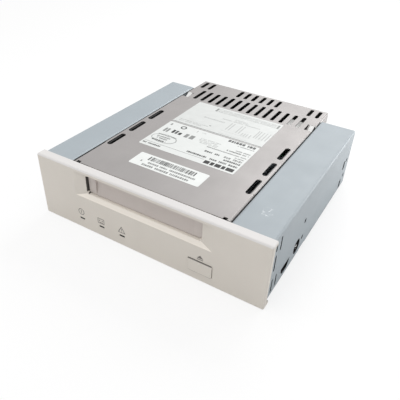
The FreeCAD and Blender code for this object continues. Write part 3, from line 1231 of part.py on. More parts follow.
def dip_switch():
    """Block of option switches hanging under the board, one slot for each lever."""
    bottom = BOARD_Z - DIP_HEIGHT
    block = box(around(DIP_X, DIP_LENGTH), around(DIP_Y, DIP_DEPTH), (bottom, BOARD_Z))
    slots = [box(around(x, DIP_LEVER_SIZE + 2 * SLIDE_PLAY),
                 (DIP_Y - DIP_LEVER_TRAVEL / 2 - DIP_LEVER_SIZE / 2 - SLIDE_PLAY,
                  DIP_Y + DIP_LEVER_TRAVEL / 2 + DIP_LEVER_SIZE / 2 + SLIDE_PLAY),
                 (bottom - OVERRUN, bottom + DIP_LEVER_REACH + SLIDE_PLAY)) for x in dip_lever_places()]
    return cut(block, *slots)


def dip_lever(x):
    y = DIP_Y - DIP_LEVER_TRAVEL / 2
    bottom = BOARD_Z - DIP_HEIGHT
    return box(around(x, DIP_LEVER_SIZE), around(y, DIP_LEVER_SIZE),
               (bottom - DIP_LEVER_REACH, bottom + DIP_LEVER_REACH))


# ================================================================ tape deck
def guide_direction():
    """Unit vector of the right guide's path, and the path's length."""
    step_x = GUIDE_END[0] - GUIDE_START[0]
    length = math.hypot(step_x, GUIDE_TRAVEL_Y)
    return step_x / length, GUIDE_TRAVEL_Y / length, length


def guide_slot():
    """Slanting slot of the deck in which the right guide's stem runs."""
    unit_x, unit_y, length = guide_direction()
    reach = length + GUIDE_SLOT_WIDTH + 2 * SLIDE_PLAY
    tool = slot_hole(0, 0, GUIDE_SLOT_WIDTH, reach, (DECK_UNDER - OVERRUN, DECK_TOP + OVERRUN))
    tool.rotate(vector(0, 0, 0), Z_AXIS, -math.degrees(math.atan2(unit_x, unit_y)))
    tool.translate(vector((GUIDE_START[0] + GUIDE_END[0]) / 2, (GUIDE_START[1] + GUIDE_END[1]) / 2, 0))
    return tool


def mech_deck():
    """Pressed deck: plate with ears, side walls slotted for the sled, guide slots and the motor bridge."""
    plate = box((-DECK_HALF_WIDTH, DECK_HALF_WIDTH), (DECK_FRONT_Y, DECK_REAR_Y), (DECK_UNDER, DECK_TOP))
    ear_reach = DAMPER_X + DAMPER_RADIUS - FIT_GAP
    ears = []
    for y in DAMPER_YS:
        ear = rounded_block((DECK_HALF_WIDTH - EAR_LENGTH, ear_reach), around(y, EAR_LENGTH),
                            (DECK_UNDER, DECK_TOP), DECK_CORNER)
        ears += both_sides(ear)
    wall = box((DECK_HALF_WIDTH - DECK_WALL, DECK_HALF_WIDTH), (DECK_FRONT_Y, DECK_WALL_REAR_Y),
               (DECK_UNDER, DECK_WALL_TOP))
    for y in (DECK_FRONT_Y, DECK_WALL_REAR_Y):
        wall = rounded(wall, DECK_WALL_ROUND, y=y, z=DECK_WALL_TOP)
    x_span = (DECK_HALF_WIDTH - 2 * DECK_WALL, DECK_HALF_WIDTH + OVERRUN)
    pin_slot = 2 * (SLED_PIN_RADIUS + SLIDE_PLAY)
    wall_slots = [wall_slot(y + CASSETTE_PUSH / 2, SLED_PIN_Z, CASSETTE_PUSH + pin_slot, pin_slot, x_span)
                  for y in SLED_PINS_Y]
    wall = cut(wall, *wall_slots)
    deck = fuse(plate, *ears, *both_sides(wall), *motor_bridge())

    through = (DECK_UNDER - OVERRUN, DECK_TOP + OVERRUN)
    tools = both_sides(guide_slot())
    tools += [post(x, REEL_Y, through, REEL_SHAFT_RADIUS + RUNNING_GAP + BUSH_WALL) for x in reel_places()]
    tools.append(post(CAPSTAN_X, CAPSTAN_Y, through, CAPSTAN_RADIUS + RUNNING_GAP + BUSH_WALL))
    tools.append(post(GEAR_X, GEAR_Y, through, PIVOT_RADIUS + RUNNING_GAP))
    tools += [post(x, y, through, PIVOT_RADIUS) for x, y in arm_pivots()]
    tools += [post(side * DAMPER_X, y, through, SMALL_SCREW_RADIUS + SCREW_HOLE_PLAY)
              for side in (-1, 1) for y in DAMPER_YS]
    tools.append(rounded_block(around(0, REEL_SPREAD),
                               (DECK_FRONT_Y + EAR_LENGTH, REEL_Y - REEL_FLANGE_RADIUS - DECK_SHEET),
                               through, DECK_CORNER))
    return cut(deck, *tools)


def arm_pivots():
    return (PINCH_PIVOT_X, PINCH_PIVOT_Y), (TENSION_PIVOT_X, TENSION_PIVOT_Y)


def motor_bridge():
    """Raised strap over the gears that carries the loading motor on two legs."""
    bridge_z = (BRIDGE_BOTTOM, BRIDGE_BOTTOM + BRIDGE_SHEET)
    reach = MOTOR_RADIUS + MOTOR_PINION_RADIUS
    x_span = (MOTOR_X - MOTOR_RADIUS, MOTOR_X + reach)
    y_span = (MOTOR_Y - MOTOR_RADIUS, DECK_REAR_Y)
    leg_z = (DECK_UNDER, bridge_z[1])
    shaft_hole = post(MOTOR_X, MOTOR_Y, (bridge_z[0] - OVERRUN, bridge_z[1] + OVERRUN),
                      MOTOR_PINION_RADIUS / 2)
    rear_leg = box(x_span, (DECK_REAR_Y - BRIDGE_SHEET, DECK_REAR_Y), leg_z)
    side_leg = box((x_span[1] - BRIDGE_SHEET, x_span[1]), y_span, leg_z)
    return [cut(box(x_span, y_span, bridge_z), shaft_hole), rear_leg, side_leg]


def reel_places():
    return -REEL_SPREAD / 2, REEL_SPREAD / 2


def deck_dampers():
    bore = SMALL_SCREW_RADIUS + SCREW_HOLE_PLAY
    return group(tube(side * DAMPER_X, y, (DAMPER_SEAT, DECK_UNDER), DAMPER_RADIUS, bore)
                 for side in (-1, 1) for y in DAMPER_YS)


def bearing_bushes():
    """Flanged bushes of the two reel shafts and the capstan, pressed into the deck."""
    bushes = []
    places = [(x, REEL_Y, REEL_SHAFT_RADIUS, REEL_FLANGE_BOTTOM - 2 * SLIDE_PLAY) for x in reel_places()]
    places.append((CAPSTAN_X, CAPSTAN_Y, CAPSTAN_RADIUS, CAPSTAN_BUSH_TOP))
    for x, y, shaft_radius, top in places:
        outer = shaft_radius + RUNNING_GAP + BUSH_WALL
        bottom = ROTOR_BOTTOM + ROTOR_THICKNESS + 2 * SLIDE_PLAY
        barrel = post(x, y, (bottom, top), outer)
        flange = post(x, y, (bottom, DECK_UNDER), outer + BUSH_WALL / 2)
        bore = post(x, y, (bottom - OVERRUN, top + OVERRUN), shaft_radius + RUNNING_GAP)
        bushes.append(cut(fuse(barrel, flange), bore))
    return group(bushes)


def flat_motor_board(x_span, y_span, centres, radius):
    """A thin board with a ring of flat coils under each rotor."""
    board = box(x_span, y_span, (STATOR_BOTTOM, STATOR_BOTTOM + STATOR_SHEET))
    top = STATOR_BOTTOM + STATOR_SHEET
    coil_radius = radius / 4
    coils = []
    for x, y in centres:
        for index in range(COIL_COUNT):
            angle = 2 * math.pi * index / COIL_COUNT
            reach = radius - coil_radius
            coils.append(tube(x + reach * math.cos(angle), y + reach * math.sin(angle),
                              (top, top + COIL_HEIGHT), coil_radius, coil_radius / 3))
    return group([board] + coils)


def reel_motor_stators():
    margin = REEL_ROTOR_RADIUS + MOTOR_BOARD_MARGIN
    return flat_motor_board(around(0, REEL_SPREAD + 2 * margin), around(REEL_Y, 2 * margin),
                            [(x, REEL_Y) for x in reel_places()], REEL_ROTOR_RADIUS)


def capstan_stator():
    margin = CAPSTAN_ROTOR_RADIUS + MOTOR_BOARD_MARGIN
    return flat_motor_board(around(CAPSTAN_X, 2 * margin), around(CAPSTAN_Y, 2 * margin),
                            [(CAPSTAN_X, CAPSTAN_Y)], CAPSTAN_ROTOR_RADIUS)


def reel_table(x):
    """Reel table: rotor, shaft, flange with its rim, and a splined spindle with a tapered nose."""
    flange_top = REEL_FLANGE_BOTTOM + REEL_FLANGE_THICKNESS
    nose = 2 * REEL_FLANGE_THICKNESS
    rotor_top = ROTOR_BOTTOM + ROTOR_THICKNESS
    profile = [(0, ROTOR_BOTTOM), (REEL_ROTOR_RADIUS, ROTOR_BOTTOM), (REEL_ROTOR_RADIUS, rotor_top),
               (REEL_SHAFT_RADIUS, rotor_top), (REEL_SHAFT_RADIUS, REEL_FLANGE_BOTTOM),
               (REEL_FLANGE_RADIUS, REEL_FLANGE_BOTTOM), (REEL_FLANGE_RADIUS, flange_top),
               (REEL_FLANGE_RADIUS - REEL_FLANGE_THICKNESS, flange_top),
               (REEL_FLANGE_RADIUS - 2 * REEL_FLANGE_THICKNESS, flange_top - REEL_FLANGE_THICKNESS / 2),
               (REEL_HUB_RADIUS + REEL_FLANGE_THICKNESS, flange_top - REEL_FLANGE_THICKNESS / 2),
               (REEL_HUB_RADIUS, flange_top), (REEL_HUB_RADIUS, REEL_HUB_TOP - nose),
               (REEL_HUB_RADIUS / 2, REEL_HUB_TOP), (0, REEL_HUB_TOP)]
    table = revolved(profile)
    fins = []
    for index in range(REEL_FINS):
        fin = box((0, REEL_HUB_RADIUS + REEL_FLANGE_THICKNESS / 2), around(0, REEL_FLANGE_THICKNESS),
                  (flange_top - REEL_FLANGE_THICKNESS / 2, REEL_HUB_TOP - nose))
        fin.rotate(vector(0, 0, 0), Z_AXIS, 360 * index / REEL_FINS)
        fins.append(fin)
    table = fuse(table, *fins)
    table.translate(vector(x, REEL_Y, 0))
    return table


def supply_reel_table():
    return reel_table(reel_places()[0])


def takeup_reel_table():
    return reel_table(reel_places()[1])


# ---------------------------------------------------------------- drum
def drum_frame(shape):
    """Moves a drum part made round the Z axis, its joint face at 0, to its tilted place."""
    shape.rotate(vector(0, 0, 0), X_AXIS, DRUM_TILT)
    shape.translate(vector(0, DRUM_Y, DRUM_MID_Z))
    return shape


def drum_lower():
    """Fixed lower drum with the tape's guiding step, its shaft and its base on the deck."""
    bottom = -DRUM_LOWER_HEIGHT
    barrel = post(0, 0, (bottom, 0), DRUM_RADIUS)
    step = tube(0, 0, (bottom + DRUM_GAP, bottom / 2), DRUM_RADIUS + OVERRUN, DRUM_RADIUS - DRUM_RABBET)
    step_cutter = box(around(0, 3 * DRUM_RADIUS), around(0, 3 * DRUM_RADIUS), (bottom - OVERRUN, bottom / 2))
    step_cutter.rotate(vector(0, 0, 0), Y_AXIS, DRUM_TILT)
    shaft = post(0, 0, (0, DRUM_UPPER_HEIGHT), DRUM_SHAFT_RADIUS)
    body = drum_frame(fuse(cut(barrel, step.common(step_cutter)), shaft))
    above_deck = box(around(0, 4 * DRUM_RADIUS), around(DRUM_Y, 4 * DRUM_RADIUS), (DECK_TOP, UNIT_HEIGHT))
    base = post(0, DRUM_Y, (DECK_TOP, DECK_TOP + DRUM_BASE_THICKNESS), DRUM_BASE_RADIUS)
    return fuse(body.common(above_deck), base)


def drum_upper():
    """Spinning upper drum: rim, dished top, hub on the shaft, and a window for each head."""
    top = DRUM_GAP + DRUM_UPPER_HEIGHT
    dish = DRUM_GAP + DRUM_WEB
    bore = DRUM_SHAFT_RADIUS + RUNNING_GAP
    rim_inside = DRUM_RADIUS - DRUM_RIM_WALL
    profile = [(bore, DRUM_GAP), (DRUM_RADIUS, DRUM_GAP), (DRUM_RADIUS, top), (rim_inside, top),
               (rim_inside - DRUM_RIM_SLOPE, dish), (DRUM_HUB_RADIUS, dish),
               (DRUM_HUB_RADIUS, top + DRUM_GAP), (bore, top + DRUM_GAP)]
    drum = revolved(profile)
    windows = []
    for index in range(HEAD_COUNT):
        window = box((rim_inside, DRUM_RADIUS + OVERRUN), around(0, DRUM_RIM_WALL),
                     (0, DRUM_GAP + HEAD_WINDOW_HEIGHT))
        window.rotate(vector(0, 0, 0), Z_AXIS, 360 * index / HEAD_COUNT)
        windows.append(window)
    return drum_frame(cut(drum, *windows))


def drum_heads():
    """Head chips standing in the windows of the upper drum."""
    heads = []
    for index in range(HEAD_COUNT):
        head = box((DRUM_RADIUS - DRUM_RIM_WALL, DRUM_RADIUS + RUNNING_GAP), around(0, HEAD_THICKNESS),
                   (2 * DRUM_GAP, DRUM_GAP + HEAD_WINDOW_HEIGHT))
        head.rotate(vector(0, 0, 0), Z_AXIS, 360 * index / HEAD_COUNT)
        heads.append(head)
    return drum_frame(group(heads))


# ---------------------------------------------------------------- capstan and arms
def capstan():
    """Capstan shaft on its flat rotor."""
    shaft = post(CAPSTAN_X, CAPSTAN_Y, (ROTOR_BOTTOM, CAPSTAN_TOP), CAPSTAN_RADIUS)
    rotor = post(CAPSTAN_X, CAPSTAN_Y, (ROTOR_BOTTOM, ROTOR_BOTTOM + ROTOR_THICKNESS), CAPSTAN_ROTOR_RADIUS)
    return fuse(shaft, rotor)


def polar(x, y, length, degrees):
    angle = math.radians(degrees)
    return x + length * math.cos(angle), y + length * math.sin(angle)


def pivot_arm(pivot_x, pivot_y, tip_x, tip_y, z_span, half_width):
    """Flat arm with round ends and a bore at its pivot."""
    length = math.hypot(tip_x - pivot_x, tip_y - pivot_y)
    bar = box((0, length), around(0, ARM_BAR_WIDTH), z_span)
    bar.rotate(vector(0, 0, 0), Z_AXIS, math.degrees(math.atan2(tip_y - pivot_y, tip_x - pivot_x)))
    bar.translate(vector(pivot_x, pivot_y, 0))
    bore_radius = PIVOT_RADIUS + RUNNING_GAP
    boss_top = z_span[1] + half_width
    boss = post(pivot_x, pivot_y, (z_span[0], boss_top), bore_radius + half_width / 2)
    tip = post(tip_x, tip_y, z_span, half_width)
    bore = post(pivot_x, pivot_y, (z_span[0] - OVERRUN, boss_top + OVERRUN), bore_radius)
    return cut(fuse(bar, boss, tip), bore)


def pinch_tip():
    return polar(PINCH_PIVOT_X, PINCH_PIVOT_Y, PINCH_ARM_LENGTH, PINCH_REST_ANGLE)


def pinch_arm():
    """Arm of the pinch roller, with the roller's pin."""
    tip_x, tip_y = pinch_tip()
    arm_z = (PINCH_ARM_BOTTOM, PINCH_ARM_BOTTOM + PINCH_ARM_THICKNESS)
    arm = pivot_arm(PINCH_PIVOT_X, PINCH_PIVOT_Y, tip_x, tip_y, arm_z, ARM_HALF_WIDTH)
    top = PINCH_ROLLER_TOP + CAP_THICKNESS
    pin = post(tip_x, tip_y, (PINCH_ARM_BOTTOM, top), POLE_RADIUS)
    cap = post(tip_x, tip_y, (PINCH_ROLLER_TOP + 3 * SLIDE_PLAY, top), 2 * POLE_RADIUS)
    return fuse(arm, pin, cap)


def pinch_roller():
    tip_x, tip_y = pinch_tip()
    return tube(tip_x, tip_y, (PINCH_ROLLER_BOTTOM, PINCH_ROLLER_TOP), PINCH_ROLLER_RADIUS,
                POLE_RADIUS + RUNNING_GAP)


def tension_arm():
    """Back tension arm with its upright pole."""
    tip_x, tip_y = polar(TENSION_PIVOT_X, TENSION_PIVOT_Y, TENSION_ARM_LENGTH, TENSION_REST_ANGLE)
    arm_z = (PINCH_ARM_BOTTOM, PINCH_ARM_BOTTOM + PINCH_ARM_THICKNESS)
    arm = pivot_arm(TENSION_PIVOT_X, TENSION_PIVOT_Y, tip_x, tip_y, arm_z, ARM_HALF_WIDTH)
    return fuse(arm, post(tip_x, tip_y, (PINCH_ARM_BOTTOM, POLE_TOP), POLE_RADIUS))


def steel_posts():
    """Turned posts: two tape posts and two arm pivots in the deck, four under the amplifier board."""
    posts = []
    for x, y in FIXED_POSTS:
        pole = post(x, y, (DECK_TOP, POLE_TOP), FIXED_POST_RADIUS)
        collars = [post(x, y, span, FIXED_COLLAR_RADIUS) for span in
                   ((DECK_TOP, FIXED_COLLAR_TOP), (POLE_TOP - CAP_THICKNESS, POLE_TOP))]
        posts.append(fuse(pole, *collars))
    pivot_top = PINCH_ARM_BOTTOM + PINCH_ARM_THICKNESS + ARM_HALF_WIDTH
    for x, y in arm_pivots():
        pin = post(x, y, (DECK_UNDER, pivot_top + CAP_THICKNESS), PIVOT_RADIUS)
        cap = post(x, y, (pivot_top + 3 * SLIDE_PLAY, pivot_top + CAP_THICKNESS),
                   PIVOT_RADIUS + ARM_HALF_WIDTH / 2)
        washer = post(x, y, (DECK_TOP, PINCH_ARM_BOTTOM - SLIDE_PLAY), PIVOT_RADIUS + ARM_HALF_WIDTH / 2)
        posts.append(fuse(pin, cap, washer))
    posts += [post(x, y, (BOARD_TOP, AMP_Z), AMP_POST_RADIUS) for x, y in amp_post_places()]
    return group(posts)


# ---------------------------------------------------------------- loading train
def involute_flank(base_radius, radius):
    """Turn of a flank point about the gear's middle, seen from where the involute leaves its base circle."""
    if radius <= base_radius:
        return 0.0
    roll = math.sqrt((radius / base_radius) ** 2 - 1)
    return roll - math.atan(roll)


def gear(x, y, z_span, module, teeth, phase):
    """Spur gear with involute flanks; phase is the direction of one tooth's middle, in degrees."""
    pitch_radius = module * teeth / 2
    base_radius = pitch_radius * math.cos(math.radians(PRESSURE_ANGLE))
    tip_radius = pitch_radius + TOOTH_DEPTH_SHARE * module
    root_radius = pitch_radius - ROOT_DEPTH_SHARE * module
    half_tooth = ((math.pi * module / 2 - BACKLASH) / 2 / pitch_radius
                  + involute_flank(base_radius, pitch_radius))
    flank = [root_radius, max(base_radius, root_radius + TOUCH), pitch_radius, tip_radius]
    points = []
    for tooth in range(teeth):
        middle = math.radians(phase) + 2 * math.pi * tooth / teeth
        halves = [(radius, half_tooth - involute_flank(base_radius, radius)) for radius in flank]
        rising = [(radius, middle - half) for radius, half in halves]
        falling = [(radius, middle + half) for radius, half in reversed(halves)]
        points += [(x + radius * math.cos(angle), y + radius * math.sin(angle), z_span[0])
                   for radius, angle in rising + falling]
    return prism(points, Z_AXIS, z_span[1] - z_span[0])


def loading_gear():
    """Large wheel above the deck and rack pinion below it, on one shaft."""
    wheel_z = (GEAR_BOTTOM, GEAR_BOTTOM + GEAR_THICKNESS)
    wheel = gear(GEAR_X, GEAR_Y, wheel_z, GEAR_MODULE, GEAR_TEETH, MOTOR_ANGLE)
    windows = [post(*polar(GEAR_X, GEAR_Y, GEAR_WINDOW_REACH, 360 * index / GEAR_WINDOW_COUNT),
                    (wheel_z[0] - OVERRUN, wheel_z[1] + OVERRUN), GEAR_WINDOW_RADIUS)
               for index in range(GEAR_WINDOW_COUNT)]
    pinion = gear(GEAR_X, GEAR_Y, (PLATE_BOTTOM - FIT_GAP, PLATE_TOP + FIT_GAP), PINION_MODULE,
                  PINION_TEETH, 0)
    shaft = post(GEAR_X, GEAR_Y, (PLATE_BOTTOM - FIT_GAP, wheel_z[1] + GEAR_THICKNESS / 2), PIVOT_RADIUS)
    return fuse(cut(wheel, *windows), pinion, shaft)


def motor_pinion():
    """Pinion on the loading motor's shaft, a gap of its teeth on the wheel's tooth."""
    half_pitch = 180 / MOTOR_PINION_TEETH
    z_span = (GEAR_BOTTOM, GEAR_BOTTOM + GEAR_THICKNESS)
    pinion = gear(MOTOR_X, MOTOR_Y, z_span, GEAR_MODULE, MOTOR_PINION_TEETH, MOTOR_ANGLE + 180 + half_pitch)
    shaft_top = BRIDGE_BOTTOM + BRIDGE_SHEET + MOTOR_BORE_DEPTH / 2
    shaft = post(MOTOR_X, MOTOR_Y, (GEAR_BOTTOM, shaft_top), MOTOR_SHAFT_RADIUS)
    return fuse(pinion, shaft)


def loading_motor():
    """Small can motor standing on the bridge, with a boss and two solder tabs on top."""
    seat = BRIDGE_BOTTOM + BRIDGE_SHEET
    top = seat + MOTOR_LENGTH
    can = rounded(post(MOTOR_X, MOTOR_Y, (seat, top), MOTOR_RADIUS), MOTOR_ROUND, z=top)
    boss = post(MOTOR_X, MOTOR_Y, (seat, top + CAP_THICKNESS), MOTOR_PINION_RADIUS / 2)
    tabs = [box(around(MOTOR_X + side * MOTOR_RADIUS / 2, TAB_SHEET), around(MOTOR_Y, MOTOR_RADIUS / 2),
                (top - MOTOR_ROUND, top + MOTOR_TAB_HEIGHT)) for side in (-1, 1)]
    bore = post(MOTOR_X, MOTOR_Y, (seat - OVERRUN, seat + MOTOR_BORE_DEPTH), MOTOR_SHAFT_RADIUS + RUNNING_GAP)
    return cut(fuse(can, boss, *tabs), bore)


def rack_tooth(y):
    """One straight-sided tooth of the plate's rack, pointing to the pinion."""
    half_pitch_line = (math.pi * PINION_MODULE / 2 - BACKLASH) / 2
    slope = math.tan(math.radians(PRESSURE_ANGLE))
    tip = TOOTH_DEPTH_SHARE * PINION_MODULE
    root = ROOT_DEPTH_SHARE * PINION_MODULE
    tip_half = half_pitch_line - tip * slope
    root_half = half_pitch_line + root * slope
    corners = ((-tip, -tip_half), (-tip, tip_half), (root + TOUCH, root_half), (root + TOUCH, -root_half))
    points = [(RACK_LINE_X + out, y + step, PLATE_BOTTOM) for out, step in corners]
    return prism(points, Z_AXIS, PLATE_SHEET)


def loading_plate():
    """Sliding plate under the deck: a cross bar with the guides' slots, and an arm with the rack."""
    z_span = (PLATE_BOTTOM, PLATE_TOP)
    bar_y = around(GUIDE_START[1], 2 * PLATE_BAR_HALF)
    arm_low_x = RACK_LINE_X + ROOT_DEPTH_SHARE * PINION_MODULE
    right_x = GUIDE_END[0] + GUIDE_SLOT_WIDTH / 2 + PLATE_END_WALL
    bar = box((arm_low_x, right_x), bar_y, z_span)
    arm = box((arm_low_x, arm_low_x + PLATE_ARM_WIDTH), (bar_y[0], GEAR_Y + PINION_RADIUS), z_span)
    pitch = math.pi * PINION_MODULE
    first = GEAR_Y + pitch / 2
    count = math.ceil(GUIDE_TRAVEL_Y / pitch) + 2
    teeth = [rack_tooth(first - index * pitch) for index in range(count)]
    slot_length = GUIDE_END[0] - GUIDE_START[0] + GUIDE_SLOT_WIDTH + 2 * SLIDE_PLAY
    slot = slot_hole((GUIDE_START[0] + GUIDE_END[0]) / 2, GUIDE_START[1], slot_length, GUIDE_SLOT_WIDTH,
                     (z_span[0] - OVERRUN, z_span[1] + OVERRUN))
    return cut(fuse(bar, arm, *teeth), *both_sides(slot))


def guide_base():
    """Right tape guide: base on the deck, stem through the slots, upright pin and slanted pole."""
    x, y = GUIDE_START
    base_z = (DECK_TOP + GUIDE_BASE_GAP, DECK_TOP + GUIDE_BASE_GAP + GUIDE_BASE_HEIGHT)
    base = post(x, y, base_z, GUIDE_BASE_RADIUS)
    stem = post(x, y, (PLATE_BOTTOM - GUIDE_STEM_GAP, base_z[1]), GUIDE_SLOT_WIDTH / 2 - GUIDE_STEM_GAP)
    pin = post(x, y, (base_z[0], POLE_TOP), GUIDE_PIN_RADIUS)
    cap = post(x, y, (POLE_TOP - GUIDE_CAP_THICKNESS, POLE_TOP), GUIDE_ROLLER_RADIUS)
    unit_x, unit_y, _ = guide_direction()
    heel = post(x - unit_x * GUIDE_HEEL_REACH, y - unit_y * GUIDE_HEEL_REACH, base_z, GUIDE_HEEL_RADIUS)
    foot = (x - unit_x * GUIDE_POLE_REACH, y - unit_y * GUIDE_POLE_REACH, base_z[1] - GUIDE_POLE_SINK)
    lean = vector(-unit_x * GUIDE_POLE_LEAN, -unit_y * GUIDE_POLE_LEAN, 1)
    pole = rod(foot, lean, POLE_TOP - foot[2], GUIDE_PIN_RADIUS)
    return fuse(base, stem, pin, cap, heel, pole)


def guide_roller():
    x, y = GUIDE_START
    bottom = DECK_TOP + GUIDE_BASE_GAP + GUIDE_BASE_HEIGHT + 2 * SLIDE_PLAY
    top = POLE_TOP - GUIDE_CAP_THICKNESS - 2 * SLIDE_PLAY
    return tube(x, y, (bottom, top), GUIDE_ROLLER_RADIUS, GUIDE_PIN_RADIUS + RUNNING_GAP)


def right_guide():
    return guide_base()


def left_guide():
    return mirrored(guide_base())


def right_guide_roller():
    return guide_roller()


def left_guide_roller():
    return mirrored(guide_roller())


# ================================================================ cassette carrier and sled
def cassette_carrier():
    """Folded sheet cage that holds the cassette: windowed roof, side walls, ledges and four pins."""
    y_span = (CARRIER_FRONT_Y, CARRIER_REAR_Y)
    floor_z = CASSETTE_ENTRY_Z - CARRIER_SHEET
    roof = box((-CARRIER_OUTER_HALF, CARRIER_OUTER_HALF), y_span,
               (CARRIER_ROOF, CARRIER_ROOF + CARRIER_SHEET))
    windows = [rounded_block(around(side * CARRIER_WINDOW_X, CARRIER_WINDOW_WIDTH),
                             (CARRIER_FRONT_Y + CARRIER_WINDOW_FRONT, CARRIER_REAR_Y - CARRIER_WINDOW_REAR),
                             (CARRIER_ROOF - OVERRUN, CARRIER_ROOF + CARRIER_SHEET + OVERRUN), DECK_CORNER)
               for side in (-1, 1)]
    wall = box((CARRIER_INNER_HALF, CARRIER_OUTER_HALF), y_span, (floor_z, CARRIER_ROOF + CARRIER_SHEET))
    ledge = box((CARRIER_INNER_HALF - CARRIER_LEDGE, CARRIER_OUTER_HALF), y_span,
                (floor_z, CASSETTE_ENTRY_Z))
    lead_in = prism(((CARRIER_INNER_HALF - CARRIER_LEDGE, CARRIER_FRONT_Y, floor_z - OVERRUN),
                     (CARRIER_INNER_HALF - CARRIER_LEDGE, CARRIER_FRONT_Y + CARRIER_LEDGE, floor_z - OVERRUN),
                     (CARRIER_INNER_HALF, CARRIER_FRONT_Y, floor_z - OVERRUN)), Z_AXIS, 3 * OVERRUN)
    ledge = cut(ledge, lead_in)
    pins = [rod((CARRIER_INNER_HALF + CARRIER_SHEET / 2, y, CARRIER_PIN_Z), X_AXIS,
                SLED_OUTER_HALF - CARRIER_INNER_HALF + FIT_GAP, CARRIER_PIN_RADIUS) for y in CARRIER_PINS_Y]
    return fuse(cut(roof, *windows), *both_sides(fuse(wall, ledge, *pins)))


def carrier_sled():
    """Frame that carries the cage inwards: two slotted cheeks, two straps over the top and four pins."""
    y_span = (SLED_FRONT_Y, SLED_REAR_Y)
    cheek = box((SLED_INNER_HALF, SLED_OUTER_HALF), y_span, (SLED_BOTTOM, SLED_ROOF + SLED_SHEET))
    x_span = (SLED_INNER_HALF - OVERRUN, SLED_OUTER_HALF + OVERRUN)
    slot_width = 2 * (CARRIER_PIN_RADIUS + SLIDE_PLAY)
    slots = [wall_slot(y, CARRIER_PIN_Z - CASSETTE_DROP / 2, slot_width, CASSETTE_DROP + slot_width, x_span)
             for y in CARRIER_PINS_Y]
    strap_end = SLED_STRAP_WIDTH / 2 + SLED_SHEET
    between = (SLED_STRAPS_Y[0] + strap_end, SLED_STRAPS_Y[1] - strap_end)
    dip = rounded_block(x_span, between, (CARRIER_PIN_Z + SLED_DIP_RISE, SLED_ROOF + 4 * SLED_SHEET),
                        DECK_CORNER, along="x")
    pins = [rod((SLED_INNER_HALF + SLED_SHEET / 2, y, SLED_PIN_Z), X_AXIS,
                DECK_HALF_WIDTH + SLED_SHEET / 2 - SLED_INNER_HALF, SLED_PIN_RADIUS) for y in SLED_PINS_Y]
    side = fuse(cut(cheek, dip, *slots), *pins)
    straps = [box((-SLED_OUTER_HALF, SLED_OUTER_HALF), around(y, SLED_STRAP_WIDTH),
                  (SLED_ROOF, SLED_ROOF + SLED_SHEET)) for y in SLED_STRAPS_Y]
    return fuse(*both_sides(side), *straps)


# ================================================================ amplifier board
def amp_post_places():
    x_low, x_high = around(AMP_X, AMP_WIDTH)
    first_y = AMP_FRONT_Y + AMP_POST_INSET
    return [(x, y) for x in (x_low + AMP_POST_INSET, x_high - AMP_POST_INSET)
            for y in (first_y, first_y + AMP_POST_PITCH)]


def amp_board():
    """Head amplifier board, carried above the connectors on four posts."""
    return rounded_block(around(AMP_X, AMP_WIDTH), (AMP_FRONT_Y, AMP_FRONT_Y + AMP_LENGTH),
                         (AMP_Z, AMP_Z + AMP_SHEET), BOARD_CORNER)


def amp_plug():
    """White plug of the head leads, with a locking rib."""
    z_span = (AMP_Z + AMP_SHEET, AMP_Z + AMP_SHEET + AMP_PLUG_HEIGHT)
    body = box(around(AMP_PLUG_X, AMP_PLUG_WIDTH), around(AMP_PLUG_Y, AMP_PLUG_DEPTH), z_span)
    rib = box(around(AMP_PLUG_X, AMP_PLUG_WIDTH / 3),
              (AMP_PLUG_Y - AMP_PLUG_DEPTH / 2 - AMP_RIB_PROUD, AMP_PLUG_Y),
              (z_span[0] + AMP_RIB_PROUD, z_span[1] - AMP_RIB_PROUD))
    return fuse(body, rib)


# ================================================================ the whole drive
PARTS = {
    "front_bezel": front_bezel,
    "cassette_door": cassette_door,
    "door_spring": door_spring,
    "light_pipes": light_pipes,
    "indicator_leds": indicator_leds,
    "eject_button": eject_button,
    "switch_plunger": switch_plunger,
    "eject_switch": eject_switch,
    "front_panel_board": front_panel_board,
    "top_cover": top_cover,
    "right_bracket": right_bracket,
    "left_bracket": left_bracket,
    "bracket_screws": bracket_screws,
    "lower_chassis": lower_chassis,
    "bottom_cover": bottom_cover,
    "bottom_screws": bottom_screws,
    "main_board": main_board,
    "small_screws": small_screws,
    "board_chips": board_chips,
    "board_capacitors": board_capacitors,
    "scsi_connector": scsi_connector,
    "connector_pins": connector_pins,
    "power_connector": power_connector,
    "jumper_block": jumper_block,
    "dip_switch": dip_switch,
    "mech_deck": mech_deck,
    "deck_dampers": deck_dampers,
    "steel_posts": steel_posts,
    "bearing_bushes": bearing_bushes,
    "reel_motor_stators": reel_motor_stators,
    "capstan_stator": capstan_stator,
    "supply_reel_table": supply_reel_table,
    "takeup_reel_table": takeup_reel_table,
    "drum_lower": drum_lower,
    "drum_upper": drum_upper,
    "drum_heads": drum_heads,
    "capstan": capstan,
    "pinch_arm": pinch_arm,
    "pinch_roller": pinch_roller,
    "tension_arm": tension_arm,
    "loading_motor": loading_motor,
    "motor_pinion": motor_pinion,
    "loading_gear": loading_gear,
    "loading_plate": loading_plate,
    "left_guide": left_guide,
    "right_guide": right_guide,
    "left_guide_roller": left_guide_roller,
    "right_guide_roller": right_guide_roller,
    "cassette_carrier": cassette_carrier,
    "carrier_sled": carrier_sled,
    "amp_board": amp_board,
    "amp_plug": amp_plug,
}


def export(name, shape):
    """Moves a part into the model's frame, origin under the middle of the footprint, and writes it."""
    shape.translate(vector(-BAY_X, (BUTTON_PROUD - DRIVE_REAR) / 2, 0))
    shape.exportStep(os.path.join("parts", name + ".step"))


def main():
    os.makedirs("parts", exist_ok=True)
    for name, build in PARTS.items():
        export(name, build())
    for index, x in enumerate(dip_lever_places()):
        export("dip_lever_%d" % (index + 1), dip_lever(x))


main()
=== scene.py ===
import json
import math
import random

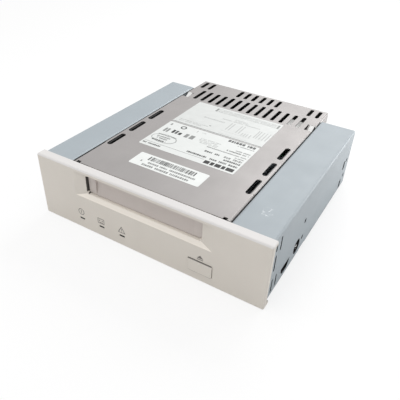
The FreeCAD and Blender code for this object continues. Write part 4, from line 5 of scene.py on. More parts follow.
import bmesh
import bpy
from bpy.props import FloatProperty, FloatVectorProperty, IntProperty, PointerProperty
from mathutils import Matrix, Vector


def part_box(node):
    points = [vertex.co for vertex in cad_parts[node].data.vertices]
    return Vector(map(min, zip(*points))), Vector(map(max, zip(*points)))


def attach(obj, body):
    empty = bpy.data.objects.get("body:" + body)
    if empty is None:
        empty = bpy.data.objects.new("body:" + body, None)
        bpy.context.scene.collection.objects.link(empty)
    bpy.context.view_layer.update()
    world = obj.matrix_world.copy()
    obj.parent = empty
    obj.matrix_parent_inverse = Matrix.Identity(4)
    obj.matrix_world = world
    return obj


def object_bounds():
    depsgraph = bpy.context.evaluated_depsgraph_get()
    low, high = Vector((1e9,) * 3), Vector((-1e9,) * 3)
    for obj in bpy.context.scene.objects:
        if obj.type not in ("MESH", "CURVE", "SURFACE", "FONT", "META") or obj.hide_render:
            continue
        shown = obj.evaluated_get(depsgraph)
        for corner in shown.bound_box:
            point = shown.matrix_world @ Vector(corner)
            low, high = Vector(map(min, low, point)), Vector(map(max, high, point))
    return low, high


bl_info = {
    "name": "Tape Drive Dressing",
    "version": (1, 0, 0),
    "blender": (4, 5, 0),
    "location": "3D View > Sidebar > Tape Drive",
    "description": "Finishes, labels, printed marks and stage of a half-height tape drive",
    "category": "Object",
}

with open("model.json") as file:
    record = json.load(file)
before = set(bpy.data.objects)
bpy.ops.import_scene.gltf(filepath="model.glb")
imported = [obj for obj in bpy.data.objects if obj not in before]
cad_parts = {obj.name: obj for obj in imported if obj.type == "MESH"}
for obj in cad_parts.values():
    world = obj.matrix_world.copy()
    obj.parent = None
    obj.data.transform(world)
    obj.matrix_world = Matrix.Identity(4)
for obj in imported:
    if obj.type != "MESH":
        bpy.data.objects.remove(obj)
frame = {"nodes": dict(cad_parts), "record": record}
CAD_LOW, CAD_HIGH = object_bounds()
MM = 0.001
BEZEL_LOW, BEZEL_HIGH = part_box("front_bezel")
COVER_LOW, COVER_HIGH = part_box("top_cover")
BUTTON_LOW, BUTTON_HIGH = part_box("eject_button")
COVER_TOP_Z = COVER_HIGH.z
SHELF_Z = CAD_LOW.z
BRACKET_REAR_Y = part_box("right_bracket")[1].y
BEZEL_BACK_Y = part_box("lower_chassis")[0].y - 0.2 * MM

# Zones of the outer parts where shade or light is painted into the colour, and a patch of scratches about
# SCUFF.
SHADOW = (0.012, 0.012, 0.013)
SEAM_DEPTH, SEAM_REACH = 1.2 * MM, 0.4 * MM
SCUFF, SCUFF_REACH = (60.5 * MM, -54.0 * MM, COVER_TOP_Z), 4.2 * MM
TONGUES_X = ((44.9 * MM, 49.1 * MM), (-52.5 * MM, -48.3 * MM))
TONGUES_Y = (45.0 * MM, 52.0 * MM)
TONGUE_TOP_Z, TONGUE_FLOOR_Z = COVER_TOP_Z - 0.12 * MM, COVER_TOP_Z - 3 * MM
BRACKET_SKIN, BRACKET_WALL, BRACKET_BEND = 0.15 * MM, 0.7 * MM, 1.3 * MM
BRACKET_DARK_Y = -15 * MM
INDICATOR_WELL = ((-46.7 * MM, BEZEL_LOW.y + 0.25 * MM, 5.9 * MM),
                  (-11.9 * MM, BEZEL_LOW.y + 9 * MM, 8.65 * MM))
KEY_GAP, KEY_GAP_DEPTH, KEY_RIM = 0.6 * MM, 0.12 * MM, 0.28 * MM
BROW_HEIGHT = 2 * MM
RECESS_TOP_Z = BEZEL_HIGH.z - 5 * MM
SILL_LOW = Vector((BEZEL_LOW.x, BEZEL_LOW.y + 0.05 * MM, BUTTON_HIGH.z + MM))
OPENING_LOW = Vector((BEZEL_LOW.x / 2 - 15 * MM, BEZEL_LOW.y + MM, BUTTON_HIGH.z + 2 * MM))


# ---------------------------------------------------------------- properties
def colour_property(name, description, default):
    return FloatVectorProperty(name=name, description=description, default=default, size=3,
                               min=0.0, max=1.0, subtype="COLOR")


class FinishSettings(bpy.types.PropertyGroup):
    """Colours of the drive's surfaces."""
    bezel: colour_property("Bezel", "Moulded front and key", (0.632, 0.592, 0.538))
    # Bezel top is painted light, not wear: a paler tone for the upward faces of the top edge, where the lamp
    # above falls.
    lit_bezel_top: colour_property("Bezel top", "Worn, paler top edge of the bezel", (0.683, 0.665, 0.654))
    door: colour_property("Door", "Cassette door", (0.530, 0.480, 0.450))
    cover: colour_property("Cover", "Painted steel cover", (0.370, 0.352, 0.345))
    bracket: colour_property("Brackets", "Zinc plated sheet", (0.375, 0.420, 0.450))
    label: colour_property("Labels", "Paper of the labels", (0.705, 0.722, 0.708))
    mark_ink: colour_property("Mark ink", "Print on the bezel", (0.130, 0.120, 0.110))
    board: colour_property("Boards", "Solder mask", (0.015, 0.110, 0.045))


class LabelSettings(bpy.types.PropertyGroup):
    """Sizes of labels and print."""
    thickness: FloatProperty(name="Thickness", description="Thickness of a label", unit="LENGTH",
                             default=0.09 * MM, min=0.02 * MM, max=0.3 * MM, precision=5)
    print_height: FloatProperty(name="Print height", description="How far print stands proud",
                                unit="LENGTH", default=0.02 * MM, min=0.005 * MM, max=0.1 * MM, precision=5)
    corner: FloatProperty(name="Corner", description="Corner radius of a label", unit="LENGTH",
                          default=0.9 * MM, min=0.1 * MM, max=3 * MM, precision=5)
    seed: IntProperty(name="Seed", description="Seed of the print's word lengths", default=7, min=0)


class StageSettings(bpy.types.PropertyGroup):
    """Camera and lamps."""
    camera_place: FloatVectorProperty(name="Camera place", description="Where the camera stands",
                                      default=(0.120123, -0.228535, 0.177683), unit="LENGTH")
    camera_turn: FloatVectorProperty(name="Camera turn", description="How the camera is turned",
                                     default=tuple(math.radians(d) for d in (54.124, -2.1489, 30.9369)),
                                     subtype="EULER")
    lens: FloatProperty(name="Lens", description="Focal length of the camera in millimetres",
                        default=41.1936, min=10, max=200)
    sky: FloatProperty(name="Sky", description="Strength of the light all round", default=0.66, min=0)
    overhead: FloatProperty(name="Overhead", description="Power of the soft lamp above", unit="POWER",
                            default=1.2, min=0)
    rear: FloatProperty(name="Rear", description="Power of the soft lamp behind", unit="POWER",
                        default=2.6, min=0)
    front: FloatProperty(name="Front", description="Power of the soft lamp in front", unit="POWER",
                         default=0.12, min=0)
    side: FloatProperty(name="Side", description="Power of the soft lamp at the right", unit="POWER",
                        default=0.35, min=0)


# ---------------------------------------------------------------- materials
def node(tree, kind, place, settings=None, **links):
    """Adds a shader node; settings fill sockets or attributes, links join sockets by name."""
    made = tree.nodes.new(kind)
    made.location = place
    for name, value in (settings or {}).items():
        if name in made.inputs:
            made.inputs[name].default_value = value
        else:
            setattr(made, name, value)
    for name, source in links.items():
        tree.links.new(source, made.inputs[name.replace("_", " ")])
    return made


def principled(name, roughness, metallic=0.0):
    """A new material with its shader node and Object coordinates, ready for a pattern."""
    material = bpy.data.materials.new(name)
    material.use_nodes = True
    tree = material.node_tree
    shader = tree.nodes["Principled BSDF"]
    shader.inputs["Roughness"].default_value = roughness
    shader.inputs["Metallic"].default_value = metallic
    coordinates = node(tree, "ShaderNodeTexCoord", (-1100, 0))
    return material, tree, shader, coordinates.outputs["Object"]


def stretched(tree, source, scale):
    """Coordinates scaled by different amounts along the three axes."""
    return node(tree, "ShaderNodeMapping", (-900, -200), {"Scale": scale}, Vector=source).outputs["Vector"]


def noise(tree, source, scale, detail=4.0, place=(-700, 0)):
    """A cloud pattern of the given number of cells in a metre."""
    made = node(tree, "ShaderNodeTexNoise", place, {"Scale": scale, "Detail": detail}, Vector=source)
    return made.outputs["Fac"]


def ramp(tree, source, stops, place=(-450, 0)):
    """A colour ramp through (position, colour) stops."""
    made = node(tree, "ShaderNodeValToRGB", place, Fac=source)
    elements = made.color_ramp.elements
    while len(elements) < len(stops):
        elements.new(0.5)
    for element, (position, colour) in zip(elements, stops):
        element.position = position
        element.color = (*colour, 1.0)
    return made.outputs["Color"]


def shade(colour, factor):
    """A darker or lighter tone of a colour."""
    return tuple(min(1.0, channel * factor) for channel in colour)


def mottle(tree, source, colour, spread, scale):
    """Colour that wanders between a darker and a lighter tone."""
    return ramp(tree, noise(tree, source, scale),
                ((0.30, shade(colour, 1 - spread)), (0.70, shade(colour, 1 + spread))))


def spread_roughness(tree, shader, source, low, high, scale):
    """Roughness that wanders between two values."""
    pattern = noise(tree, source, scale, place=(-700, -320))
    made = node(tree, "ShaderNodeMapRange", (-450, -320),
                {"From Min": 0.3, "From Max": 0.7, "To Min": low, "To Max": high}, Value=pattern)
    tree.links.new(made.outputs["Result"], shader.inputs["Roughness"])


def add_bump(tree, shader, height, strength, distance):
    """Fine relief from a pattern; it only tilts the light."""
    made = node(tree, "ShaderNodeBump", (-250, -520), {"Strength": strength, "Distance": distance},
                Height=height)
    tree.links.new(made.outputs["Normal"], shader.inputs["Normal"])


def product(tree, first, second):
    """One mask times another."""
    made = node(tree, "ShaderNodeMath", (-200, 1100), {"operation": "MULTIPLY"})
    tree.links.new(first, made.inputs[0])
    tree.links.new(second, made.inputs[1])
    return made.outputs["Value"]


def compared(tree, source, operation, limit):
    """1 where a value is above or below a limit, and 0 elsewhere."""
    made = node(tree, "ShaderNodeMath", (-540, 1150), {"operation": operation})
    tree.links.new(source, made.inputs[0])
    made.inputs[1].default_value = limit
    return made.outputs["Value"]


def parts_of(tree, name):
    """The x, y and z of the Object coordinates or of the Normal."""
    source = tree.nodes["Texture Coordinate"].outputs[name]
    return node(tree, "ShaderNodeSeparateXYZ", (-900, 1200), Vector=source).outputs


def facing_middle(tree, middle):
    """1 on faces turned towards a point, as the inside of a housing is, and 0 on the outer ones."""
    coordinates = tree.nodes["Texture Coordinate"]
    outwards = node(tree, "ShaderNodeVectorMath", (-900, 1000), {"operation": "SUBTRACT"})
    tree.links.new(coordinates.outputs["Object"], outwards.inputs[0])
    outwards.inputs[1].default_value = middle
    turned = node(tree, "ShaderNodeVectorMath", (-720, 1000), {"operation": "DOT_PRODUCT"})
    tree.links.new(coordinates.outputs["Normal"], turned.inputs[0])
    tree.links.new(outwards.outputs["Vector"], turned.inputs[1])
    inside = compared(tree, turned.outputs["Value"], "LESS_THAN", 0.0)
    return product(tree, inside, compared(tree, parts_of(tree, "Normal")["Z"], "LESS_THAN", 0.3))


def facing_up(tree):
    """1 on faces turned upwards."""
    return compared(tree, parts_of(tree, "Normal")["Z"], "GREATER_THAN", 0.3)


def within_box(tree, low, high):
    """1 on everything inside a box, and 0 outside it."""
    place = parts_of(tree, "Object")
    masks = []
    for axis, near, far in zip("XYZ", low, high):
        close = node(tree, "ShaderNodeMath", (-700, 1300), {"operation": "COMPARE"})
        tree.links.new(place[axis], close.inputs[0])
        close.inputs[1].default_value = (near + far) / 2
        close.inputs[2].default_value = (far - near) / 2
        masks.append(close.outputs["Value"])
    return product(tree, product(tree, masks[0], masks[1]), masks[2])


def overlay(tree, mask, colour):
    """Lays another tone over whatever feeds the shader's colour, where a mask is 1."""
    shader = tree.nodes["Principled BSDF"]
    before = shader.inputs["Base Color"].links[0].from_socket
    mixed = node(tree, "ShaderNodeMix", (100, 200), {"data_type": "RGBA"})
    tree.links.new(mask, mixed.inputs["Factor"])
    tree.links.new(before, mixed.inputs[6])
    mixed.inputs[7].default_value = (*colour, 1.0)
    tree.links.new(mixed.outputs[2], shader.inputs["Base Color"])


def textured_plastic(name, colour, roughness, spread=0.018, grain=2600.0, relief=0.25):
    """Moulded plastic with a fine spark-eroded texture and a slight unevenness of tone."""
    material, tree, shader, place = principled(name, roughness)
    tree.links.new(mottle(tree, place, colour, spread, 55.0), shader.inputs["Base Color"])
    spread_roughness(tree, shader, place, roughness - 0.05, roughness + 0.05, 140.0)
    add_bump(tree, shader, noise(tree, place, grain, 2.0, (-700, -560)), relief, 0.03 * MM)
    shader.inputs["Specular IOR Level"].default_value = 0.4
    return material


def smooth_plastic(name, colour, roughness, spread=0.03, gloss=0.5):
    """Glossy moulding with faint flow marks."""
    material, tree, shader, place = principled(name, roughness)
    flow = stretched(tree, place, (1.0, 0.25, 1.0))
    tree.links.new(mottle(tree, flow, colour, spread, 260.0), shader.inputs["Base Color"])
    spread_roughness(tree, shader, place, roughness * 0.8, roughness * 1.25, 400.0)
    add_bump(tree, shader, noise(tree, flow, 900.0, 2.0, (-700, -560)), 0.12, 0.02 * MM)
    shader.inputs["Specular IOR Level"].default_value = gloss
    return material


def rolled_sheet(name, colour, roughness, metallic, along=(1.0, 0.06, 1.0), spread=0.05, grain=900.0):
    """Steel sheet: long faint rolling marks over cloudy tone, with a satin gloss."""
    material, tree, shader, place = principled(name, roughness, metallic)
    marks = noise(tree, stretched(tree, place, along), grain, 6.0, (-700, -120))
    clouds = mottle(tree, place, colour, spread, 38.0)
    streaks = ramp(tree, marks, ((0.25, (0.975, 0.975, 0.975)), (0.75, (1.0, 1.0, 1.0))), (-450, -120))
    both = node(tree, "ShaderNodeMix", (-200, 0), {"data_type": "RGBA", "blend_type": "MULTIPLY"})
    both.inputs["Factor"].default_value = 1.0
    tree.links.new(clouds, both.inputs[6])
    tree.links.new(streaks, both.inputs[7])
    tree.links.new(both.outputs[2], shader.inputs["Base Color"])
    spread_roughness(tree, shader, place, roughness - 0.03, roughness + 0.03, 90.0)
    add_bump(tree, shader, marks, 0.05, 0.02 * MM)
    return material


def scuffed_sheet(name, colour, roughness, metallic, spread, middle, reach):
    """Rolled sheet with a patch of bright scratches about one point."""
    material = rolled_sheet(name, colour, roughness, metallic, spread=spread)
    tree = material.node_tree
    place = tree.nodes["Texture Coordinate"].outputs["Object"]
    bent = node(tree, "ShaderNodeTexNoise", (-900, 420), {"Scale": 160.0, "Detail": 3.0}, Vector=place)
    mixed = node(tree, "ShaderNodeVectorMath", (-720, 420), {"operation": "MULTIPLY_ADD"})
    tree.links.new(bent.outputs["Color"], mixed.inputs[0])
    mixed.inputs[1].default_value = (0.006, 0.006, 0.006)
    tree.links.new(place, mixed.inputs[2])
    cells = node(tree, "ShaderNodeTexVoronoi", (-540, 420), {"feature": "DISTANCE_TO_EDGE", "Scale": 330.0},
                 Vector=mixed.outputs["Vector"])
    lines = node(tree, "ShaderNodeMapRange", (-360, 420),
                 {"From Min": 0.015, "From Max": 0.06, "To Min": 1.0, "To Max": 0.0},
                 Value=cells.outputs["Distance"])
    away = node(tree, "ShaderNodeVectorMath", (-540, 640), {"operation": "DISTANCE"})
    tree.links.new(place, away.inputs[0])
    away.inputs[1].default_value = middle
    patch = node(tree, "ShaderNodeMapRange", (-360, 640),
                 {"From Min": reach * 0.45, "From Max": reach, "To Min": 1.0, "To Max": 0.0},
                 Value=away.outputs["Value"])
    broken = node(tree, "ShaderNodeMapRange", (-360, 860),
                  {"From Min": 0.48, "From Max": 0.56, "To Min": 0.0, "To Max": 1.0},
                  Value=noise(tree, place, 420.0, 2.0, (-540, 860)))
    scratches = product(tree, lines.outputs["Result"], patch.outputs["Result"])
    mask = product(tree, scratches, broken.outputs["Result"])
    overlay(tree, mask, (0.85, 0.87, 0.88))
    return material


def turned_metal(name, colour, roughness, grain=2400.0):
    """Metal with fine circumferential tool marks, which show as level rings."""
    material, tree, shader, place = principled(name, roughness, 1.0)
    rings = noise(tree, stretched(tree, place, (0.03, 0.03, 1.0)), grain, 3.0, (-700, -560))
    tree.links.new(mottle(tree, place, colour, 0.06, 200.0), shader.inputs["Base Color"])
    spread_roughness(tree, shader, place, roughness - 0.04, roughness + 0.06, 500.0)
    add_bump(tree, shader, rings, 0.2, 0.02 * MM)
    return material


def cast_metal(name, colour, roughness):
    """Die-cast alloy with its grainy skin."""
    material, tree, shader, place = principled(name, roughness, 0.75)
    tree.links.new(mottle(tree, place, colour, 0.12, 130.0), shader.inputs["Base Color"])
    spread_roughness(tree, shader, place, roughness - 0.08, roughness + 0.1, 320.0)
    add_bump(tree, shader, noise(tree, place, 1500.0, 5.0, (-700, -560)), 0.45, 0.05 * MM)
    return material


def solder_mask(name, colour):
    """Circuit board: tracks show through the green lacquer as a raised, lighter net."""
    material, tree, shader, place = principled(name, 0.3)
    cells = node(tree, "ShaderNodeTexVoronoi", (-700, 60),
                 {"distance": "CHEBYCHEV", "feature": "F2", "Scale": 420.0, "Randomness": 0.8}, Vector=place)
    net = node(tree, "ShaderNodeTexBrick", (-700, -160),
               {"Scale": 160.0, "Mortar Size": 0.03, "Color1": (0, 0, 0, 1), "Color2": (0.2, 0.2, 0.2, 1),
                "Mortar": (1, 1, 1, 1), "Brick Width": 0.9, "Row Height": 0.22}, Vector=place)
    both = node(tree, "ShaderNodeMath", (-500, 0), {"operation": "MAXIMUM"})
    tree.links.new(net.outputs["Color"], both.inputs[0])
    pads = node(tree, "ShaderNodeMapRange", (-560, 200),
                {"From Min": 0.55, "From Max": 0.7, "To Min": 0.0, "To Max": 1.0},
                Value=cells.outputs["Distance"])
    tree.links.new(pads.outputs["Result"], both.inputs[1])
    colours = ramp(tree, both.outputs["Value"], ((0.2, colour), (0.9, shade(colour, 2.1))), (-300, 0))
    tree.links.new(colours, shader.inputs["Base Color"])
    add_bump(tree, shader, both.outputs["Value"], 0.25, 0.03 * MM)
    return material


def rubber_skin(name, colour):
    """Matt rubber with a fine grain."""
    material, tree, shader, place = principled(name, 0.75)
    tree.links.new(mottle(tree, place, colour, 0.2, 300.0), shader.inputs["Base Color"])
    add_bump(tree, shader, noise(tree, place, 3000.0, 3.0, (-700, -560)), 0.3, 0.03 * MM)
    return material


def coated_paper(name, colour, spread=0.02):
    """Label stock: faint fibre clouds under a soft gloss."""
    material, tree, shader, place = principled(name, 0.42)
    tree.links.new(mottle(tree, place, colour, spread, 220.0), shader.inputs["Base Color"])
    spread_roughness(tree, shader, place, 0.36, 0.5, 300.0)
    add_bump(tree, shader, noise(tree, place, 1800.0, 3.0, (-700, -560)), 0.05, 0.01 * MM)
    return material


def printed_ink(name, colour):
    """Ink that is a little uneven in density."""
    material, tree, shader, place = principled(name, 0.5)
    tree.links.new(ramp(tree, noise(tree, place, 1600.0, 3.0),
                        ((0.3, colour), (0.75, shade(colour, 1.6)))), shader.inputs["Base Color"])
    return material


# ---------------------------------------------------------------- mesh helpers
def new_piece(name, mesh, materials, body="drive_body"):
    """Makes an object at the origin from a bmesh, and lets it ride on a body."""
    data = bpy.data.meshes.new(name)
    mesh.to_mesh(data)
    mesh.free()
    for material in materials:
        data.materials.append(material)
    piece = bpy.data.objects.new(name, data)
    bpy.context.scene.collection.objects.link(piece)
    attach(piece, body)
    return piece


def add_block(mesh, low, high, material=0):
    """Adds a block between two corners."""
    low, high = Vector(low), Vector(high)
    size = high - low
    place = Matrix.Translation((low + high) / 2) @ Matrix.Diagonal((*size, 1.0))
    made = bmesh.ops.create_cube(mesh, size=1.0, matrix=place)
    faces = {face for vertex in made["verts"] for face in vertex.link_faces}
    for face in faces:
        face.material_index = material


def add_plate(mesh, outline, direction, material=0):
    """Adds a flat plate: an outline of points given a thickness along a vector."""
    vertices = [mesh.verts.new(point) for point in outline]
    face = mesh.faces.new(vertices)
    made = bmesh.ops.extrude_face_region(mesh, geom=[face])
    moved = [item for item in made["geom"] if isinstance(item, bmesh.types.BMVert)]
    bmesh.ops.translate(mesh, verts=moved, vec=direction)
    faces = {item for vertex in moved + vertices for item in vertex.link_faces}
    for item in faces:
        item.material_index = material
    bmesh.ops.recalc_face_normals(mesh, faces=list(faces))


def round_outline(low_x, high_x, low_y, high_y, radius, steps=6):
    """Points of a rectangle with rounded corners, in its own plane."""
    points = []
    corners = ((high_x - radius, high_y - radius, 0), (low_x + radius, high_y - radius, 90),
               (low_x + radius, low_y + radius, 180), (high_x - radius, low_y + radius, 270))
    for x, y, first in corners:
        for step in range(steps + 1):
            angle = math.radians(first + 90 * step / steps)
            points.append((x + radius * math.cos(angle), y + radius * math.sin(angle)))
    return points


# ---------------------------------------------------------------- finishes
def make_finishes(look):
    """One material for each finish, by the record's slot names."""
    bezel, door, cover, bracket = look.bezel, look.door, look.cover, look.bracket
    return {
        "bezel_plastic": textured_plastic("bezel_plastic", bezel, 0.55),
        "door_plastic": textured_plastic("door_plastic", door, 0.5),
        "window_plastic": smooth_plastic("window_plastic", (0.012, 0.012, 0.013), 0.3, gloss=0.1),
        "lamp_plastic": smooth_plastic("lamp_plastic", (0.70, 0.71, 0.66), 0.25),
        "cover_steel": rolled_sheet("cover_steel", cover, 0.36, 0.55),
        "bracket_steel": rolled_sheet("bracket_steel", bracket, 0.45, 0.35),
        "screw_steel": turned_metal("screw_steel", (0.58, 0.57, 0.53), 0.35),
        "polished_steel": turned_metal("polished_steel", (0.78, 0.78, 0.79), 0.12),
        "spring_steel": turned_metal("spring_steel", (0.50, 0.50, 0.50), 0.30),
        "cast_alloy": cast_metal("cast_alloy", (0.60, 0.60, 0.59), 0.48),
        "turned_alloy": turned_metal("turned_alloy", (0.80, 0.80, 0.81), 0.22),
        "board_laminate": solder_mask("board_laminate", look.board),
        "chip_plastic": textured_plastic("chip_plastic", (0.022, 0.022, 0.023), 0.6, 0.10),
        "can_sleeve": turned_metal("can_sleeve", (0.66, 0.66, 0.68), 0.3),
        "black_plastic": textured_plastic("black_plastic", (0.020, 0.020, 0.021), 0.45, 0.10),
        "white_nylon": smooth_plastic("white_nylon", (0.80, 0.79, 0.74), 0.4),
        "tin_plate": turned_metal("tin_plate", (0.78, 0.66, 0.36), 0.25),
        "rubber": rubber_skin("rubber", (0.022, 0.022, 0.023)),
        "bush_brass": turned_metal("bush_brass", (0.72, 0.55, 0.26), 0.32),
        "gear_plastic": smooth_plastic("gear_plastic", (0.76, 0.73, 0.65), 0.38),
        "switch_red": smooth_plastic("switch_red", (0.42, 0.03, 0.02), 0.35),
        "ferrite": cast_metal("ferrite", (0.10, 0.09, 0.09), 0.55),
    }


def paint_seam_shade(tree):
    """Painted shade in the two long seams between the cover and the brackets."""
    for x in (COVER_LOW.x, COVER_HIGH.x):
        low = (x - SEAM_REACH, COVER_LOW.y, COVER_TOP_Z - SEAM_DEPTH)
        overlay(tree, within_box(tree, low, (x + SEAM_REACH, BRACKET_REAR_Y, CAD_HIGH.z)), SHADOW)


def cover_finish(look):
    """Cover: painted shade on its inner faces and in its seams, and a painted highlight on two tongues."""
    material = rolled_sheet("cover_top_steel", look.cover, 0.46, 0.30)
    tree = material.node_tree
    # Painted shade on the faces turned inwards, seen through the slots.
    overlay(tree, facing_middle(tree, (COVER_LOW + COVER_HIGH) / 2), SHADOW)
    paint_seam_shade(tree)
    # Painted highlight on the two tongues, as if they catch the light.
    for low_x, high_x in TONGUES_X:
        low, high = (low_x, TONGUES_Y[0], TONGUE_FLOOR_Z), (high_x, TONGUES_Y[1], TONGUE_TOP_Z)
        overlay(tree, within_box(tree, low, high), (0.80, 0.80, 0.79))
    return material


def bracket_finish(name, material, look):
    """Paints shade on a bracket's inner faces, on the walls of its holes and in its closed front end."""
    low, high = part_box(name)
    tree = material.node_tree
    skin = Vector((BRACKET_SKIN, 0, 0))
    near, far = low + skin, high - skin - Vector((0, 0, BRACKET_BEND))
    # Painted shade: the sheet's colour made darker on faces turned inwards.
    overlay(tree, facing_middle(tree, (low + high) / 2), shade(look.bracket, 0.5))
    # Painted shadow in the front of the channel.
    overlay(tree, within_box(tree, near, (far.x, BRACKET_DARK_Y, far.z)), SHADOW)
    if low.x > 0:
        near.x = far.x - BRACKET_WALL
    else:
        far.x = near.x + BRACKET_WALL
    # Painted shadow on the walls of the holes in the outer wall.
    overlay(tree, within_box(tree, near, far), SHADOW)
    paint_seam_shade(tree)
    return material


def bezel_finish(look):
    """Bezel: painted shade in its wells, gaps and parts behind its face, and painted light on the sill in the
    recess and on the top edge.
    """
    material = textured_plastic("bezel_front_plastic", look.bezel, 0.55)
    tree = material.node_tree
    # Painted shadow on everything behind the bezel's back face.
    overlay(tree, within_box(tree, (BEZEL_LOW.x, BEZEL_BACK_Y, BEZEL_LOW.z), BEZEL_HIGH), SHADOW)
    # Painted shade in the well of the indicators.
    overlay(tree, within_box(tree, *INDICATOR_WELL), shade(look.bezel, 0.12))
    # Painted shade in the gap around the key.
    gap = Vector((KEY_GAP, 0, KEY_GAP))
    low, high = BUTTON_LOW - gap, BUTTON_HIGH + gap
    low.y = BEZEL_LOW.y + KEY_GAP_DEPTH
    overlay(tree, within_box(tree, low, high), shade(look.bezel, 0.10))
    # Painted light on the upward faces of the sill in the recess.
    sill = within_box(tree, SILL_LOW, (BEZEL_HIGH.x, BEZEL_HIGH.y, RECESS_TOP_Z))
    overlay(tree, product(tree, sill, facing_up(tree)), shade(look.bezel, 1.32))
    # Painted light on the upward faces along the top edge.
    brow = within_box(tree, (BEZEL_LOW.x, BEZEL_LOW.y, BEZEL_HIGH.z - BROW_HEIGHT),
                      BEZEL_HIGH + Vector((0, 0, MM)))
    overlay(tree, product(tree, brow, facing_up(tree)), look.lit_bezel_top)
    # Painted shade on the recess wall that faces right.
    rightwards = compared(tree, parts_of(tree, "Normal")["X"], "GREATER_THAN", 0.95)
    opening = within_box(tree, OPENING_LOW, (0, BEZEL_BACK_Y, RECESS_TOP_Z))
    overlay(tree, product(tree, rightwards, opening), shade(look.bezel, 0.12))
    return material


def key_finish(look):
    """Key: the bezel's plastic with painted shade on its rim."""
    material = textured_plastic("key_plastic", look.bezel, 0.55)
    tree = material.node_tree
    rim = Vector((KEY_RIM, 0, KEY_RIM))
    # Painted shade over the whole key, then the bezel colour again inside the rim.
    overlay(tree, within_box(tree, CAD_LOW, CAD_HIGH), shade(look.bezel, 0.30))
    overlay(tree, within_box(tree, BUTTON_LOW + rim - Vector((0, MM, 0)), BUTTON_HIGH - rim), look.bezel)
    return material


def glowing_plug_finish():
    """White plug of the head amplifier, with a painted glow so that it shows in the dark behind the vents."""
    material = smooth_plastic("plug_white", (0.90, 0.90, 0.88), 0.4)
    shader = material.node_tree.nodes["Principled BSDF"]
    # Painted light: a slight glow, though the plug is no lamp.
    shader.inputs["Emission Color"].default_value = (0.9, 0.9, 0.88, 1.0)
    shader.inputs["Emission Strength"].default_value = 0.45
    return material


def make_housings(look):
    """Finishes of single parts, by node name, in place of those by slot."""
    # The right bracket takes a darker tone of the bracket colour than the left: painted shade.
    right = scuffed_sheet("right_bracket_steel", shade(look.bracket, 0.86), 0.50, 0.10, 0.02,
                          SCUFF, SCUFF_REACH)
    left = rolled_sheet("left_bracket_steel", look.bracket, 0.50, 0.10, spread=0.02)
    return {
        "top_cover": cover_finish(look),
        "right_bracket": bracket_finish("right_bracket", right, look),
        "left_bracket": bracket_finish("left_bracket", left, look),
        "front_bezel": bezel_finish(look),
        "eject_button": key_finish(look),
        "amp_plug": glowing_plug_finish(),
        # Near-black chassis: a dark cast finish that also paints shade into the slots and holes it shows
        # through.
        "lower_chassis": cast_metal("chassis_alloy", (0.09, 0.09, 0.09), 0.5),
    }


# ---------------------------------------------------------------- labels and print
BAR_MODULE = 0.26 * MM
SUNK = 0.005 * MM
INK_SHARES = (("black_ink", 0.015), ("dark_ink", 0.09), ("grey_ink", 0.27), ("pale_ink", 0.52))
LABEL_LEFT, LABEL_RIGHT = -34.8 * MM, 30.3 * MM
RATINGS_FRONT, RATINGS_BACK = -33.2 * MM, 2.6 * MM
UPPER_FRONT, UPPER_BACK = 3.6 * MM, 40.2 * MM
SERIAL_LEFT, SERIAL_RIGHT = -26.0 * MM, 20.4 * MM
SERIAL_FRONT, SERIAL_BACK = -54.6 * MM, -41.1 * MM

# Print, in millimetres. Rows: left end, right end, middle, height, ink. Blocks: left, right, front,
# back, ink. Rings: middle x and y, radius x and y, line width, ink. Inks run from black to pale.
RATINGS_ROWS = (
    (-32.2, -25.6, -1.2, 2.4, 2), (9.9, 28.7, 0.4, 2.6, 1), (17.8, 29.0, -2.8, 0.9, 2),
    (19.5, 29.0, -8.5, 1.2, 2), (14.5, 29.0, -10.9, 1.2, 1), (2.4, 29.0, -13.9, 1.1, 2),
    (22.8, 28.7, -16.4, 1.1, 2), (2.8, 14.0, -19.0, 1.9, 1), (17.0, 28.7, -19.0, 1.9, 2),
    (18.3, 29.0, -22.1, 1.8, 1), (-4.7, 29.0, -25.5, 1.8, 1), (-33.6, -21.0, -30.2, 1.5, 1),
    (-6.3, 8.2, -6.8, 1.0, 3), (-6.0, 6.5, -8.5, 1.0, 3), (-5.2, 8.2, -10.2, 1.0, 3),
    (-4.0, 8.0, -11.8, 1.0, 3),
    (-31.3, -18.4, -16.5, 1.2, 2), (-30.5, -21.0, -19.1, 1.4, 2), (-29.5, -22.0, -21.3, 1.4, 2),
    (-31.0, -21.3, -24.2, 1.7, 1), (-8.8, -6.0, -0.2, 1.0, 3), (-13.8, -11.9, -0.6, 2.4, 3),
)
RATINGS_BLOCKS = (
    (-31.7, -30.2, -12.2, -7.0, 2), (-29.6, -28.2, -12.2, -7.0, 2), (-25.9, -24.2, -11.2, -6.8, 0),
    (-23.5, -21.9, -11.2, -6.8, 1), (-21.0, -19.0, -11.2, -8.2, 0), (-16.3, -13.9, -11.8, -7.0, 2),
    (-12.6, -9.6, -11.8, -7.0, 2), (9.7, 13.2, -31.6, -28.2, 0), (13.9, 16.2, -31.6, -28.2, 0),
    (16.9, 20.6, -31.6, -28.2, 0), (21.3, 23.4, -31.6, -28.2, 0), (24.1, 28.9, -31.6, -28.2, 0),
    (-33.8, 8.7, -28.2, -27.9, 2),
)
UPPER_ROWS = (
    (-16.2, 27.0, 36.8, 0.9, 3), (-16.2, 27.0, 35.4, 0.9, 3), (-16.2, 27.0, 34.0, 0.9, 3),
    (-8.0, 19.5, 25.5, 1.3, 3), (0.3, 10.3, 27.2, 1.2, 3), (0.3, 9.0, 28.8, 1.0, 3),
    (-19.7, -3.8, 20.7, 1.6, 3),
    (-32.0, -10.6, 9.4, 1.0, 3), (-32.0, -14.0, 7.6, 1.0, 3), (-10.4, -9.2, 11.3, 1.2, 2),
)
COLUMN_HALF = 0.35
